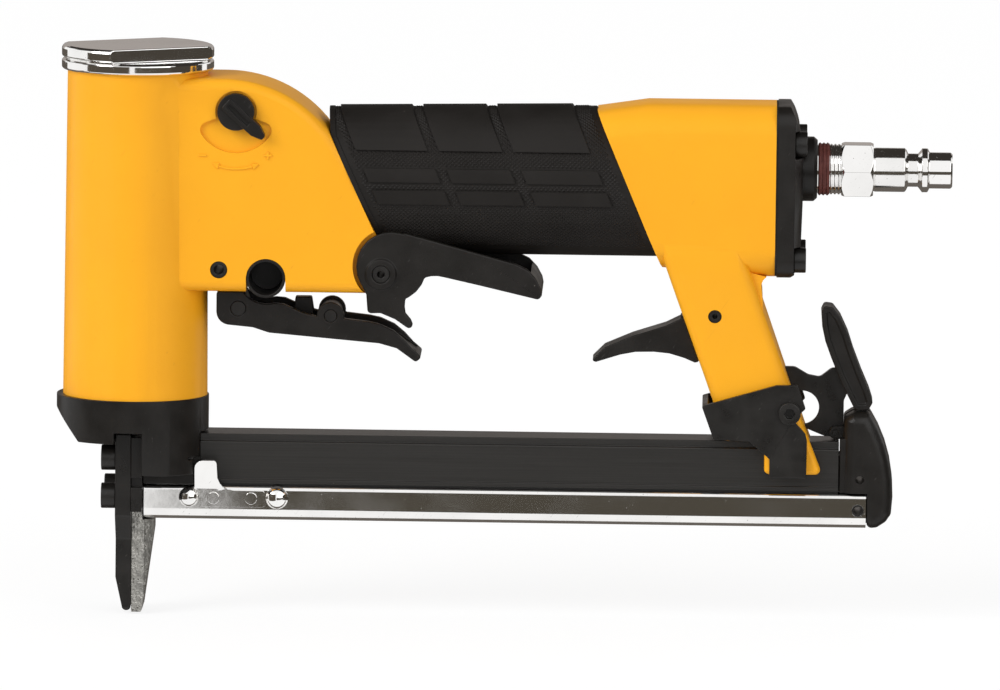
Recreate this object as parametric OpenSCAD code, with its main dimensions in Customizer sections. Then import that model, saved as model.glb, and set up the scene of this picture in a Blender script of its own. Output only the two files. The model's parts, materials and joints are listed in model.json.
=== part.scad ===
// Pneumatic upholstery stapler with a long nose, a rear-opening magazine and a squeeze safety lever.
// Millimetres. X runs from the nose to the air plug, Z is up, Y = 0 is the middle plane.
// The origin is the staple exit, on the flat end of the nose.

/* [Nose] */
// Height of the slide's underside above the nose tip
track_z = 25.6; // [21:0.1:29]
// Thickness of the front plate
plate_t = 4.3; // [3.4:0.1:5.4]
// Width of the nose at its tip
nose_w = 15; // [13:0.5:17]
// Width of the front plate at its screws
flange_w = 27; // [26:0.5:30]
// Sideways distance between the nose screws
nose_screw_gap = 19; // [18.5:0.5:20]
// Head diameter of a nose screw
nose_screw_d = 6.9; // [5.6:0.1:7.2]
// Width of the driver blade
blade_w = 9.4; // [8.6:0.1:9.8]
// Thickness of the driver blade
blade_t = 1.05; // [0.8:0.05:1.3]

/* [Head] */
// Diameter of the head cylinder
head_d = 38.8; // [37:0.2:42]
// Height of the head's lower face above the nose tip
head_z = 59; // [58:0.5:63]
// Length of the head cylinder
head_h = 88.4; // [84:0.1:98]
// Diameter of the collar
collar_d = 40; // [39:0.1:44]
// How far the collar is drawn out to the front
collar_nose = 1.3; // [0:0.1:3]
// Diameter of the cap
cap_d = 41.2; // [39:0.1:44]
// Height of the collar's front skirt
skirt_h = 11.8; // [11:0.2:14]
// Height of the cap above the head
cap_h = 6.7; // [5:0.1:8]
// Distance between the two spanner flats of the cap
cap_flats = 27; // [24:0.5:33]
// Outside diameter of the cylinder liner
liner_d = 30.2; // [28:0.2:31]
// Diameter of the piston
piston_d = 23; // [21:0.2:24]
// Stroke of the driver
stroke = 44; // [40:0.5:46]

/* [Body] */
// Width of the body
body_w = 30; // [28:0.5:33]
// Height of the body's underside above the head's lower face
body_rise = 29.5; // [27:0.5:32]
// Radius of the body's top curve
crown_r = 35.7; // [32:0.1:38]
// Rounding of the body's edges
edge_r = 3; // [1:0.25:4]
// Distance from the head's axis to the handle's rear face
body_l = 172.9; // [168:0.5:182]

/* [Handle] */
// Width of the rubber grip
grip_w = 30; // [28:0.5:32]
// Height of the grip at its front
grip_h = 39.2; // [37:0.2:42]
// Rise of the grip's top towards the rear
grip_taper = 2; // [0:0.1:3]
// Height of the grip's underside above the body's underside
grip_rise = 9.8; // [9:0.2:12]
// Thickness of the rubber
rubber_t = 2.6; // [2:0.1:3.5]
// Height of the raised pads on the rubber
pad_t = 0.65; // [0.3:0.05:0.8]
// Slant of the grip's front end from upright, in degrees
front_slant = 25; // [20:0.5:28]
// Slant of the grip's rear end from upright, in degrees
rear_slant = 23; // [18:0.5:26]
// Rounding of the rear block's edges
block_r = 8; // [4:0.5:10]

/* [Strut] */
// Width of the strut
strut_w = 21; // [20:0.5:24]
// Length of the strut's section, front to back
strut_l = 22.5; // [21:0.5:25]
// Slant of the strut from upright, in degrees
strut_slant = 19.7; // [17:0.1:22]
// Sheet thickness of the magazine bracket
bracket_t = 1.7; // [1.2:0.1:2.2]
// Shank diameter of the bracket bolt
bolt_d = 4; // [3:0.1:4.4]
// Width of the finger rest
horn_w = 8; // [7:0.5:10]

/* [Magazine] */
// How far the magazine reaches behind the handle's rear face
mag_reach = 18.1; // [16:0.1:20]
// Width of the magazine body
mag_w = 15; // [14.6:0.1:15.2]
// Height of the magazine body above the slide
mag_h = 13.4; // [13:0.1:15]
// Width of the slide
slide_w = 18; // [17.6:0.1:18.6]
// Height of the slide
slide_h = 9.4; // [9:0.1:10]
// Sheet thickness of the slide
slide_t = 1; // [0.8:0.1:1.1]
// Length of the slide behind the magazine
slide_tail = 7.5; // [7:0.1:9]
// Width of the core that the staples straddle
core_w = 7.2; // [6.8:0.1:7.4]
// Turns of the pusher spring
pusher_turns = 34; // [20:1:36]

/* [Trigger] */
// Width of the trigger
trigger_w = 17; // [16:0.2:17.6]
// Wall of the trigger's channel
trigger_t = 2.2; // [1.8:0.1:2.6]
// Diameter of the trigger's pivot pin
trigger_pin_d = 4; // [3.4:0.1:4.4]
// Diameter of the hanger's roll pin
hanger_pin_d = 4.6; // [4:0.1:5]
// Outside diameter of the cross sleeve
sleeve_d = 10.6; // [9:0.1:11]
// Diameter of the trigger valve's stem
stem_d = 3.2; // [2.6:0.1:3.6]

/* [Safety lever] */
// Width of the safety lever
lever_w = 30; // [29.6:0.2:32]
// Wall of the lever's cheeks
lever_t = 2.2; // [1.6:0.1:2.2]
// Diameter of the lever's pivot pin
lever_pin_d = 4.6; // [4:0.1:5.4]

/* [Regulator] */
// Diameter of the regulator knob
knob_d = 10; // [9:0.2:11]
// Reach of the knob's pointer from its centre
pointer_l = 10.2; // [8:0.2:10.6]
// Depth of the knob's recess
recess_t = 1; // [0.6:0.1:1.4]

/* [Latch] */
// Thickness of the latch plate
latch_t = 2; // [1.6:0.1:2.4]
// Width of the thumb lever
thumb_w = 11; // [9:0.5:14]
// Diameter of the latch pin
latch_pin_d = 1.5; // [1.2:0.1:1.8]

/* [Air inlet] */
// Thickness of the rear cover at its top
cover_t = 7.3; // [6:0.1:9]
// Diameter of the cover's port boss
port_d = 17.5; // [16:0.1:19]
// Thread diameter of the air plug
thread_d = 13.1; // [12:0.1:14]
// Width across the flats of the plug's hexagon
hex_w = 14; // [13:0.1:16]
// Tip diameter of the plug
tip_d = 9.8; // [9:0.1:10.6]
// Bore of the plug
plug_bore_d = 5; // [3:0.1:6]

/* [Clearances] */
// Gap between parts that move past each other
run = 0.3; // [0.25:0.01:0.36]
// Radial gap of a pin in its hole
fit = 0.04; // [0.02:0.01:0.08]

/* [Hidden] */
$fn = 48;

paint_yellow = "#f8b02c";
plastic_black = "#35312f";
steel_black = "#2b2a2a";
chrome = "#d5d7d9";
steel = "#a9acb0";
rubber_black = "#3a3634";
brass = "#b08d45";
seal_red = "#70342d";

// Nose and head stations
plate_back = -0.4;
plate_front = plate_back - plate_t;
spacer_t = 3;
spacer_notch = 1.5;
spacer_back = plate_back + spacer_t;
head_r = head_d / 2;
head_top = head_z + head_h;
crown_z = head_top - 1.2;
crown_x = 24;
skirt_z = head_z - skirt_h;
foot_z = skirt_z - 8.7;
foot_flat = 2.45;
bore_r = liner_d / 2 + fit;
spigot_h = 3.2;
seat_z = head_z + spigot_h;
body_z = head_z + body_rise;

// Handle stations: the grip lies between two slanted planes
grip_z = body_z + grip_rise;
front_low_x = 68;
rear_low_x = body_l - 31.3;
function front_plane(z) = front_low_x - (z - grip_z) * tan(front_slant);
function rear_plane(z) = rear_low_x - (z - grip_z) * tan(rear_slant);
grip_lip_x = 52;
block_top = grip_z + grip_h + grip_taper + 1;
block_z = grip_z - 4.3;
air_z = grip_z + grip_h * 0.62;
chamber_r = grip_w / 2 - rubber_t - 2.8;
chamber_z = grip_z + grip_h / 2;

// Magazine stations
slide_top = track_z + slide_h;
mag_z = slide_top + 2 * run;
mag_top = mag_z + mag_h;
mag_x = 18;
mag_end = body_l + mag_reach;
slide_x = spacer_back + run;
slide_end = mag_end + slide_tail;
lip_inner = slide_w / 2 - slide_t - 1.4;
channel_w = blade_w + 0.7;
channel_z = mag_top - 3.6;
core_z = track_z + slide_t;
core_top = channel_z - 1.5;
core_wall = 0.9;
core_end = mag_end + 2.6;
rod_z = (core_z + core_top) / 2 + 1;
strut_taper_z = mag_top + 21;
function strut_share(z) = (z - strut_taper_z - 1) / (block_z - strut_taper_z - 1);
function strut_width(z) = strut_w + (body_w - strut_w) * min(1, max(0, strut_share(z)));
function strut_front(z) = mag_end - 30.4 - (z - mag_top) * tan(strut_slant);

// Pivots, as [x, z]
hanger_pin = [22.9, body_z + 6.1];
trigger_pivot = [28, body_z - 5.1];
sleeve_at = [35.6, body_z + 3.9];
trigger_cross = [53, body_z - 6.8];
stem_x = 45.5;
lever_pivot = [66.7, body_z + 5.5];
knob_at = [27.2, head_top - 9.8];
knob_angle = 48;
horn_pin = [strut_front(grip_z - 14.8) + 8.7, grip_z - 14.8];
bolt_at = [mag_end - 13.5, mag_top + 8.5];
latch_at = [mag_end - 1, mag_top + 2.1];

// Nose pieces
plate_top = channel_z + 4.4;
nose_shoulder_z = track_z + 1.4;
nose_screw_drop = [7.3, 17.7];
nose_screw_places = [for (y = [-nose_screw_gap / 2, nose_screw_gap / 2], drop = nose_screw_drop)
    [y, plate_top - drop]];
nose_shank_d = 4;
nose_head_l = 3.9;
guide_top = plate_top - 11.8;
guide_root_z = track_z;
blade_x = plate_back - blade_t - 0.08;
blade_tip_z = stroke + 0.8;

// Inside the head
spigot_r = liner_d / 2;
spigot_l = 6.6;
valve_guide_r = 5.5;
valve_lift = 1.5;
valve_disc_t = 2;
liner_h = head_h - spigot_h - spigot_l - valve_lift - valve_disc_t - 2 * run;
bumper_h = 9.6;
piston_h = 9;
piston_boss_h = 6;
piston_z = seat_z + bumper_h + stroke + 2;

// Trigger and its valve
hanger_w = trigger_w - 2 * trigger_t - 2 * run;
trigger_floor = 2.4;
trigger_ear_r = 3.7;
cross_pin_d = 3.3;
sleeve_web = 3;
valve_r = 3.9;
valve_h = 14.5;
valve_floor = 2;
valve_chamber_r = valve_r - 1;
stem_drop = 1.2;
stem_collar_z = valve_floor + 1;

// Safety lever and knob
lever_seat = lever_w / 2 - lever_t - 1.1;
lever_floor = 2.2;
lever_boss = [2.8, 2];
spindle_d = 5;
spindle_l = 11;
knob_t = 2.6;
pointer_w = 3.6;
// The recess leaves the pointer clear at both ends of its turn
recess_d = knob_d + 1.2;
recess_half = knob_angle + asin((pointer_w + 2 * run) / recess_d);
// The lever's end wall stays low enough to pass under the grip when the lever is squeezed
lever_turn = 5;
lever_reach = 41;
end_wall_h = grip_z - lever_pivot[1] - lever_reach * sin(lever_turn) - run;

// Handle, cover and air plug
handle_half_w = grip_w / 2 - rubber_t;
pad_spans = [for (share = [[0.054, 0.318], [0.359, 0.592], [0.633, 0.913]])
    [front_low_x, front_low_x] + (rear_low_x - front_low_x) * share];
panel_rise = 29.2;
bar_rises = [14.7, 20.7];
bar_h = 3.8;
rim_w = 1.5;
gasket_t = 0.5;
cover_screw_d = 3.4;
cover_screw_y = body_w / 2 - 5.2;
cover_head_d = 6.8;
cover_head_l = 3.3;
cover_seat = body_l + cover_t * 0.7;
screw_over_port = sqrt(max(4, pow((port_d + cover_head_d) / 2 + run, 2) - pow(cover_screw_y, 2)));
cover_screw_places = [for (y = [-cover_screw_y, cover_screw_y], z =
    [block_z + 4.8, air_z + screw_over_port]) [y, z]];
port_h = 3.9;
plug_x = body_l + cover_t + port_h + 6.5;
hex_l = 8.6;
tip_r = tip_d / 2;

// Strut and magazine
horn_pin_d = 3.6;
bracket_w = strut_w + 0.4 + 2 * bracket_t;
bolt_head_d = 6;
bolt_head_l = 2.6;
flange_z = slide_top - slide_t - run - 1.7;
slide_low_r = 3.3;
slide_top_r = 1.2;
end_pin_x = slide_end - 2.2;
end_pin_z = track_z + 5;
end_pin_d = 3.2;
guide_t = 0.9;
tab_h = 17.2;
tab_x = 16.7;
tab_z = 8.9;
tab_lean = 16;
rivet_places = [[21.8, 6.2], [32, 6.2]];
rivet_d = 2;
pusher_x = slide_x + 3.2;
pusher_l = 14;
rod_d = 2;

// Draws a shape of X and Z standing on the middle plane
module upright(w) rotate([90, 0, 0]) linear_extrude(w, center = true) children();

// Stands a shape of X and Z between two distances from the middle plane
module between(y0, y1) translate([0, y1, 0]) rotate([90, 0, 0]) linear_extrude(y1 - y0) children();

// The same on both sides
module both_sides(y0, y1) {
    between(y0, y1) children();
    between(-y1, -y0) children();
}

// Draws a shape of Y and Z along X
module along(x0, x1) translate([x0, 0, 0]) rotate([90, 0, 90]) linear_extrude(x1 - x0) children();

// A round bar across the tool
module cross_bar(at, d, w) translate([at[0], 0, at[1]]) rotate([90, 0, 0])
    cylinder(d = d, h = w, center = true);

// A round bar along X
module axle(x0, x1, y, z, d) translate([x0, y, z]) rotate([0, 90, 0]) cylinder(d = d, h = x1 - x0);

// A box given by its two corners
module block(low, high) translate(low) cube(high - low);

// Rounds every corner of a flat shape
module eased(r) offset(r = -r, $fn = 24) offset(r = 2 * r, $fn = 24) offset(r = -r, $fn = 24) children();

// A slab with rounded edges, for a convex outline
module soft_slab(w, r) hull() for (a = [0 : 30 : 90])
    upright(w - 2 * r * (1 - sin(a))) offset(delta = -r * (1 - cos(a))) children();

function arc(at, r, from, to, steps) =
    [for (i = [0 : steps]) let (a = from + (to - from) * i / steps) at + r * [cos(a), sin(a)]];

function ellipse(half_w, half_h, z, n = 48) =
    [for (i = [0 : n - 1]) [half_w * cos(360 * i / n), z + half_h * sin(360 * i / n)]];

// A coil spring along Z: one unbroken tube of six sides
function coil_rings(r, wire, turns, len) = [for (i = [0 : 8 * turns])
    let (a = 45 * i, z = len * i / (8 * turns))
    [for (s = [0 : 5]) let (q = r + wire / 2 * cos(60 * s)) [q * cos(a), q * sin(a),
        z + wire / 2 * sin(60 * s)]]];

module coil(r, wire, turns, len) {
    rings = coil_rings(r, wire, turns, len);
    n = len(rings);
    echo(least_gap_of_the_coil = len / turns - wire);
    polyhedron([for (ring = rings) each ring], concat(
        [for (i = [0 : n - 2], s = [0 : 5]) each let (t = (s + 1) % 6)
            [[6 * i + s, 6 * i + 6 + s, 6 * i + t], [6 * i + t, 6 * i + 6 + s, 6 * i + 6 + t]]],
        [for (s = [1 : 4]) [0, s, s + 1]],
        [for (s = [1 : 4]) [6 * n - 6, 6 * n - 6 + s + 1, 6 * n - 6 + s]]));
}

// Head, body, handle and strut: one casting
module housing() color(paint_yellow) difference() {
    union() {
        translate([0, 0, head_z]) cylinder(r1 = head_r + 0.2, r2 = head_r - 0.4, h = head_h);
        intersection() {
            soft_slab(body_w, edge_r) body_outline();
            upright(2 * body_w) ahead_of_grip();
        }
        along(front_plane(chamber_z) - 4, rear_plane(chamber_z) + 8) polygon(handle_core());
        intersection() {
            soft_slab(body_w, block_r) block_outline();
            upright(2 * body_w) behind_grip();
        }
        hull() {
            soft_slab(body_w, edge_r) strut_part(block_z - 3, grip_z + 6);
            soft_slab(strut_w, edge_r) strut_part(strut_taper_z - 4, strut_taper_z + 4);
        }
        soft_slab(strut_w, edge_r) strut_part(mag_top + 0.1, strut_taper_z + 6);
        upright(body_w - 2 * edge_r) strut_fillet();
        soft_slab(strut_w, edge_r / 2) foot_outline();
    }
    translate([0, 0, head_z - 1]) cylinder(r = bore_r, h = head_h + 2);
    axle(lever_pivot[0] + 4, body_l + 1, 0, chamber_z, 2 * chamber_r);
    hanger_slot();
    cross_bar(hanger_pin, hanger_pin_d + 2 * fit, 2 * body_w);
    cross_bar(sleeve_at, sleeve_d + 2 * fit, 2 * body_w);
    block([sleeve_at[0] - sleeve_d / 2 - fit, -body_w, 0],
        [sleeve_at[0] + sleeve_d / 2 + fit, body_w, sleeve_at[1]]);
    translate([stem_x, 0, body_z - 1]) cylinder(r = valve_r + fit, h = valve_h + 1);
    knob_recess();
    both_sides(lever_seat, body_w) translate([69.4, lever_pivot[1] + 2.2]) circle(r = 10.4);
    cross_bar(lever_pivot, lever_pin_d + 2 * fit, 2 * body_w);
    upright(horn_w + 2 * fit) offset(delta = fit) horn_root();
    cross_bar(horn_pin, horn_pin_d + 2 * fit, 2 * body_w);
    block([mag_end - 60, -mag_w / 2 - run, 0], [mag_end + 20, mag_w / 2 + run, mag_top + run]);
    upright(latch_t + 4 * run) latch_room();
    cross_bar(bolt_at, bolt_d + 2 * fit, 2 * body_w);
    for (at = cover_screw_places) axle(body_l - 11, body_l + 1, at[0], at[1], cover_screw_d + 2 * fit);
}

module body_outline() polygon(concat(
    [[0, body_z], [67.5, body_z], [72.5, body_z + 5], [72.5, grip_z + 4]],
    arc([crown_x, crown_z - crown_r], crown_r, 20, 90, 20), [[0, crown_z]]));

module ahead_of_grip() polygon([[-head_d, 0], [front_plane(0), 0], [front_plane(2 * head_top),
    2 * head_top],
    [-head_d, 2 * head_top]]);

module behind_grip() polygon([[rear_plane(0), 0], [body_l, 0], [body_l, 2 * head_top],
    [rear_plane(2 * head_top), 2 * head_top]]);

module block_outline() polygon([[rear_plane(block_top) - 4, block_top - 2.8],
    [rear_plane(block_top) + 14.6, block_top],
    [body_l + block_r, block_top], [body_l + block_r, block_z], [body_l - 7, block_z],
    [rear_low_x - 0.6, grip_z - 0.7], [rear_low_x - 16, grip_z - 0.7]]);

// The strut between two heights; it narrows from the body's width to its own
module strut_part(low, high) polygon([[strut_front(high), high], [strut_front(high) + strut_l, high],
    [strut_front(low) + strut_l, low], [strut_front(low), low]]);

module strut_outline() strut_part(mag_top, grip_z + 6);

module strut_fillet() polygon([[strut_front(block_z - 10) + strut_l - 0.6, block_z - 10],
    [body_l - 3.2, block_z - 5.3],
    [body_l - 3.6, block_z - 2], [body_l - 3.1, block_z - 0.6], [body_l - 2.2, block_z + 0.3],
    [body_l - 12, block_z + 3], [body_l - 12, block_z - 10]]);

module foot_outline() eased(1.4) polygon([[mag_end - 20.2, mag_top + 8], [mag_end - 11, mag_top + 8],
    [mag_end - 4.4, mag_top - 8.7], [mag_end - 20.2, mag_top - 8.7]]);

function handle_core() = ellipse(handle_half_w, grip_h / 2 - rubber_t, chamber_z + grip_taper / 4);

// Room in the body for the trigger's hanger
module hanger_slot() block([hanger_pin[0] - 4.1, -hanger_w / 2 - fit, body_z - 1],
    [hanger_pin[0] + 6.7, hanger_w / 2 + fit, hanger_pin[1] + 4.6]);

// Keyhole recess for the knob and its pointer, with the hole for the spindle
module knob_recess() {
    between(-body_w, -body_w / 2 + recess_t) translate(knob_at) {
        circle(d = recess_d);
        eased(2.2) intersection() {
            circle(r = pointer_l + 1.1);
            polygon([[0, 0], 3 * pointer_l * [-sin(recess_half), -cos(recess_half)], [0, -4 * pointer_l],
                3 * pointer_l * [sin(recess_half), -cos(recess_half)]]);
        }
    }
    translate([knob_at[0], 0, knob_at[1]]) rotate([90, 0, 0])
        translate([0, 0, body_w / 2 - spindle_l - 1])
            cylinder(d = spindle_d + 2 * fit, h = spindle_l + 2);
}

module latch_room() translate(latch_at) polygon([[-21, 6], [-3, -6], [-3, 22], [-21, 22]]);

// Chromed cap, screwed into the head, with two spanner flats
module cylinder_cap() color(chrome) {
    rim_r = cap_d / 2;
    ring_h = cap_h * 0.46;
    groove = 0.9;
    translate([0, 0, head_top]) difference() {
        union() {
            rotate_extrude() polygon([[0, 0], [rim_r - 0.5, 0], [rim_r, 0.5], [rim_r, ring_h - 0.6],
                [rim_r - groove, ring_h], [0, ring_h]]);
            intersection() {
                rotate_extrude() polygon([[0, ring_h], [rim_r - groove, ring_h], [rim_r, ring_h + 0.6],
                    [rim_r, cap_h - 1], [rim_r - 0.3, cap_h - 0.3], [rim_r - 1, cap_h], [0, cap_h]]);
                rotate(30) translate([-cap_d, -cap_flats / 2, 0]) cube([2 * cap_d, cap_flats, cap_h]);
            }
            rotate_extrude() polygon([[0, 0], [0, -spigot_l], [spigot_r, -spigot_l], [spigot_r, -4.6],
                [spigot_r - 1.8, -4.6], [spigot_r - 1.8, -2.6], [spigot_r, -2.6], [spigot_r, 0]]);
        }
        translate([0, 0, -spigot_l - 1]) difference() {
            cylinder(r = 11, h = 4.6);
            cylinder(r = 7.6, h = 4.6);
        }
        translate([0, 0, -spigot_l - 1]) cylinder(r = valve_guide_r + fit, h = 5.4);
    }
}

module cap_o_ring() color(rubber_black) translate([0, 0, head_top - 3.6])
    rotate_extrude() translate([spigot_r - 0.9, 0]) circle(r = 0.86);

// Main valve over the cylinder; it lifts to let air onto the piston
module head_valve() color(plastic_black) {
    top = head_top - spigot_l - valve_lift - run;
    translate([0, 0, top - valve_disc_t]) difference() {
        cylinder(r = spigot_r - 0.4, h = valve_disc_t);
        for (a = [0 : 60 : 300]) rotate(a) translate([spigot_r - 2.2, 0, -1]) cylinder(r = 1.2, h = 4);
    }
    translate([0, 0, top]) cylinder(r = valve_guide_r, h = 3.4);
}

module head_valve_spring() color(steel)
    translate([0, 0, head_top - spigot_l - valve_lift + 0.2]) coil(9.3, 0.8, 3, 4.3);

module cylinder_liner() color(steel) translate([0, 0, seat_z]) difference() {
    cylinder(r = liner_d / 2, h = liner_h);
    translate([0, 0, -1]) cylinder(r = piston_d / 2 + fit, h = liner_h + 2);
}

module piston() color(steel) difference() {
    union() {
        translate([0, 0, piston_z]) cylinder(r = piston_d / 2, h = piston_h);
        translate([0, 0, piston_z - piston_boss_h]) cylinder(r = 5.6, h = piston_boss_h);
    }
    translate([0, 0, piston_z + 5.6]) rotate_extrude() translate([piston_d / 2, 0]) square([2.8, 1.6],
        center = true);
    block([blade_x - fit, -blade_w / 2 - fit, piston_z - 10],
        [blade_x + blade_t + fit, blade_w / 2 + fit, piston_z + 3]);
}

module piston_ring() color(rubber_black) translate([0, 0, piston_z + 5.6])
    rotate_extrude() translate([piston_d / 2 - 0.66, 0]) circle(r = 0.62);

// Blade that drives the staple, hung in the piston
module driver_blade() color(steel) block([blade_x, -blade_w / 2, blade_tip_z],
    [blade_x + blade_t, blade_w / 2, piston_z + 3]);

module bumper() color(rubber_black) translate([0, 0, seat_z]) difference() {
    cylinder(r1 = piston_d / 2 - 0.1, r2 = piston_d / 2 - 1.2, h = bumper_h);
    translate([0, 0, -1]) cylinder(r = 6.6, h = bumper_h + 2);
}

// Black collar under the head, cut away at the front for the nose
module nose_collar() color(plastic_black) difference() {
    r = collar_d / 2;
    front = r + collar_nose;
    union() {
        translate([0, 0, slide_top + 2 * run]) {
            for (x = [0, -collar_nose]) translate([x, 0, 0])
                cylinder(r = r, h = head_z - slide_top - 2 * run, $fn = 96);
            translate([-collar_nose, -r, 0]) cube([collar_nose, 2 * r, head_z - slide_top - 2 * run]);
        }
        translate([0, 0, head_z]) cylinder(r = spigot_r, h = spigot_h);
    }
    block([-collar_d, -collar_d, 0], [spacer_back + 2 * fit, collar_d, skirt_z]);
    block([plate_front - 0.2, -collar_d, 0], [spacer_back + 2 * fit, collar_d, plate_top + 0.5]);
    block([mag_x, -collar_d, 0], [collar_d, collar_d, mag_top + 0.6]);
    upright(2 * collar_d) polygon([[-front - 1, skirt_z + 8.4], [-front, skirt_z + 8.4],
        [-front + 6.6, skirt_z],
        [-front + 6.6, skirt_z - 1], [-front - 1, skirt_z - 1]]);
    block([0, -channel_w / 2, 0], [mag_x + 1, channel_w / 2, channel_z]);
    both_sides(slide_w / 2 - run, collar_d) translate([tab_x - run, 0])
        square([collar_d, track_z + tab_h + run]);
    both_sides(slide_w / 2 + 1.5, collar_d) square([collar_d, foot_z]);
    for (side = [0, 1]) mirror([0, side, 0]) along(0, collar_d) polygon([[r - foot_flat, foot_z - 1],
        [r - foot_flat, foot_z],
        [r + 1, foot_z + (foot_flat + 1) * 2.45], [collar_d, foot_z + (foot_flat + 1) * 2.45],
            [collar_d, foot_z - 1]]);
    both_sides(r - 8.8, collar_d) translate([mag_x - 3.1, foot_z + 4]) square([2.2, 0.8]);
    cylinder(r = 5.4, h = head_z + spigot_h + 1);
}

// Front plate with the driver's groove in its back
module nose_front_plate() color(steel_black) difference() {
    intersection() {
        along(plate_front, plate_back) eased(1) polygon([[-flange_w / 2, plate_top],
            [-flange_w / 2, nose_shoulder_z],
            [-nose_w / 2, nose_shoulder_z - 7], [-nose_w / 2, 0.3], [nose_w / 2, 0.3],
            [nose_w / 2, nose_shoulder_z - 7], [flange_w / 2, nose_shoulder_z],
                [flange_w / 2, plate_top]]);
        upright(2 * flange_w) polygon(concat([[plate_back, plate_top + 1], [plate_front, plate_top + 1],
            [plate_front, 9.5]], arc([plate_back - 1.3, 1.5], 1.2, 200, 330, 5), [[plate_back, 2.2]]));
    }
    block([blade_x - 0.08, -blade_w / 2 - 0.1, -1], [plate_back + 1, blade_w / 2 + 0.1, plate_top + 1]);
    nose_screw_holes();
}

module nose_screw_holes() for (at = nose_screw_places)
    axle(plate_front - 1, spacer_back + 1, at[0], at[1], nose_shank_d + 2 * fit);

// Spacer behind the front plate: the staples pass through its window
module nose_spacer() color(steel_black) difference() {
    block([plate_back, -flange_w / 2, track_z + 2.6], [spacer_back, flange_w / 2, plate_top - 1.4]);
    block([plate_back - 1, -nose_w / 2 - fit, 0], [spacer_back + 1, nose_w / 2 + fit, guide_top]);
    both_sides(flange_w / 2 - spacer_notch, flange_w) translate([plate_back - 1, guide_top - 3.2])
        square([spacer_t + 2, 2.7]);
    block([plate_back - 1, -channel_w / 2, 0], [spacer_back + 1, channel_w / 2, channel_z]);
    nose_screw_holes();
}

// Bare cast guide behind the driver, with two lugs held between the plate and the spacer's sides
module nose_guide() color(steel) {
    intersection() {
        upright(2 * nose_w) polygon([[plate_back, 0], [plate_back + 2.6, 0], [plate_back + 3, 0.8],
            [plate_back + 6, guide_root_z - 3.4], [plate_back + 6, guide_root_z - run],
                [plate_back, guide_root_z - run]]);
        linear_extrude(guide_root_z) polygon([[plate_back, -nose_w / 2], [plate_back + 3.3, -nose_w / 2],
            [plate_back + 6, -nose_w / 2 + 2.6], [plate_back + 6, nose_w / 2 - 2.6],
            [plate_back + 3.3, nose_w / 2], [plate_back, nose_w / 2]]);
    }
    for (side = [0, 1]) mirror([0, side, 0])
        block([plate_back, channel_w / 2, guide_root_z - 1],
            [spacer_back - fit, nose_w / 2, guide_top - fit]);
}

// Socket screws of the nose, heads to the front
module nose_screws() color(steel_black) for (at = nose_screw_places) difference() {
    union() {
        axle(plate_front - nose_head_l, plate_front, at[0], at[1], nose_screw_d);
        axle(plate_front, spacer_back - 0.2, at[0], at[1], nose_shank_d);
    }
    translate([plate_front - nose_head_l - 1, at[0], at[1]]) rotate([0, 90, 0])
        cylinder(d = 3.5, h = 3.2, $fn = 6);
}

// Hanger that carries the trigger, held in the body by the roll pin
module trigger_hanger() color(steel_black) difference() {
    upright(hanger_w) hull() {
        translate(hanger_pin) circle(r = 3.7);
        translate(trigger_pivot) circle(r = 3.2);
    }
    cross_bar(hanger_pin, hanger_pin_d + 2 * fit, 2 * hanger_w);
    cross_bar(trigger_pivot, trigger_pin_d + 2 * fit, 2 * hanger_w);
}

// Hollow roll pin, flush with the body
module hanger_pin() color(steel) difference() {
    cross_bar(hanger_pin, hanger_pin_d, body_w - 0.4);
    cross_bar(hanger_pin, hanger_pin_d - 2, body_w + 1);
}

// Trigger: a channel that is open to the top and runs out in a finger tip
module trigger_outline() difference() {
    union() {
        translate([0, body_z]) eased(0.8) polygon([[22.1, -0.5], [30.8, -0.5], [32.4, -3.2], [40.2, -3.7],
            [45.3, -5.9],
            [49.3, -7], [57, -7.5], [63.3, -8.2], [66.2, -8.8], [70, -10.5], [72.8, -12.8], [75.2, -15.4],
                [77.9, -17.7],
            [76.2, -19.1], [71, -15.4], [66.2, -14.1], [52.5, -13], [36.4, -11.6], [32, -10.2],
            each arc([25.7, -6], 3.6, 262, 180, 5)]);
        translate(trigger_cross) circle(r = trigger_ear_r);
    }
    translate(sleeve_at) circle(r = sleeve_d / 2 + 2.4);
}

module trigger() color(plastic_black) difference() {
    union() {
        difference() {
            upright(trigger_w) trigger_outline();
            upright(trigger_w - 2 * trigger_t) {
                translate([0, trigger_floor]) trigger_outline();
                translate([0, trigger_floor + 4]) trigger_outline();
                translate(trigger_pivot) circle(r = 3.2 + run);
                translate([20, trigger_pivot[1] - 1]) square([11.4, 12]);
            }
        }
        translate([0, 0, body_z]) upright(4) polygon([[stem_x - 2.2, -stem_drop - 1.2],
            [stem_x + 2.2, -stem_drop - 1.2],
            [stem_x + 3.6, -11], [stem_x - 3.6, -11]]);
    }
    cross_bar(trigger_pivot, trigger_pin_d + 2 * fit, 2 * trigger_w);
    cross_bar(trigger_cross, cross_pin_d + 2 * fit, 2 * trigger_w);
}

module trigger_pin() color(steel_black) cross_bar(trigger_pivot, trigger_pin_d, trigger_w);
module trigger_cross_pin() color(steel_black) cross_bar(trigger_cross, cross_pin_d, trigger_w);

// Sleeve that keeps the trigger's cheeks apart
module trigger_spacer() color(steel_black) difference() {
    cross_bar(trigger_cross, cross_pin_d + 2.6, trigger_w - 2 * trigger_t - 0.1);
    cross_bar(trigger_cross, cross_pin_d + 2 * fit, trigger_w);
}

// Trigger valve in the body's underside
module valve_body() color(brass) translate([stem_x, 0, body_z]) difference() {
    cylinder(r = valve_r, h = valve_h - run);
    translate([0, 0, -1]) cylinder(r = stem_d / 2 + fit, h = valve_h);
    translate([0, 0, valve_floor]) cylinder(r = valve_chamber_r, h = valve_h);
}

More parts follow.
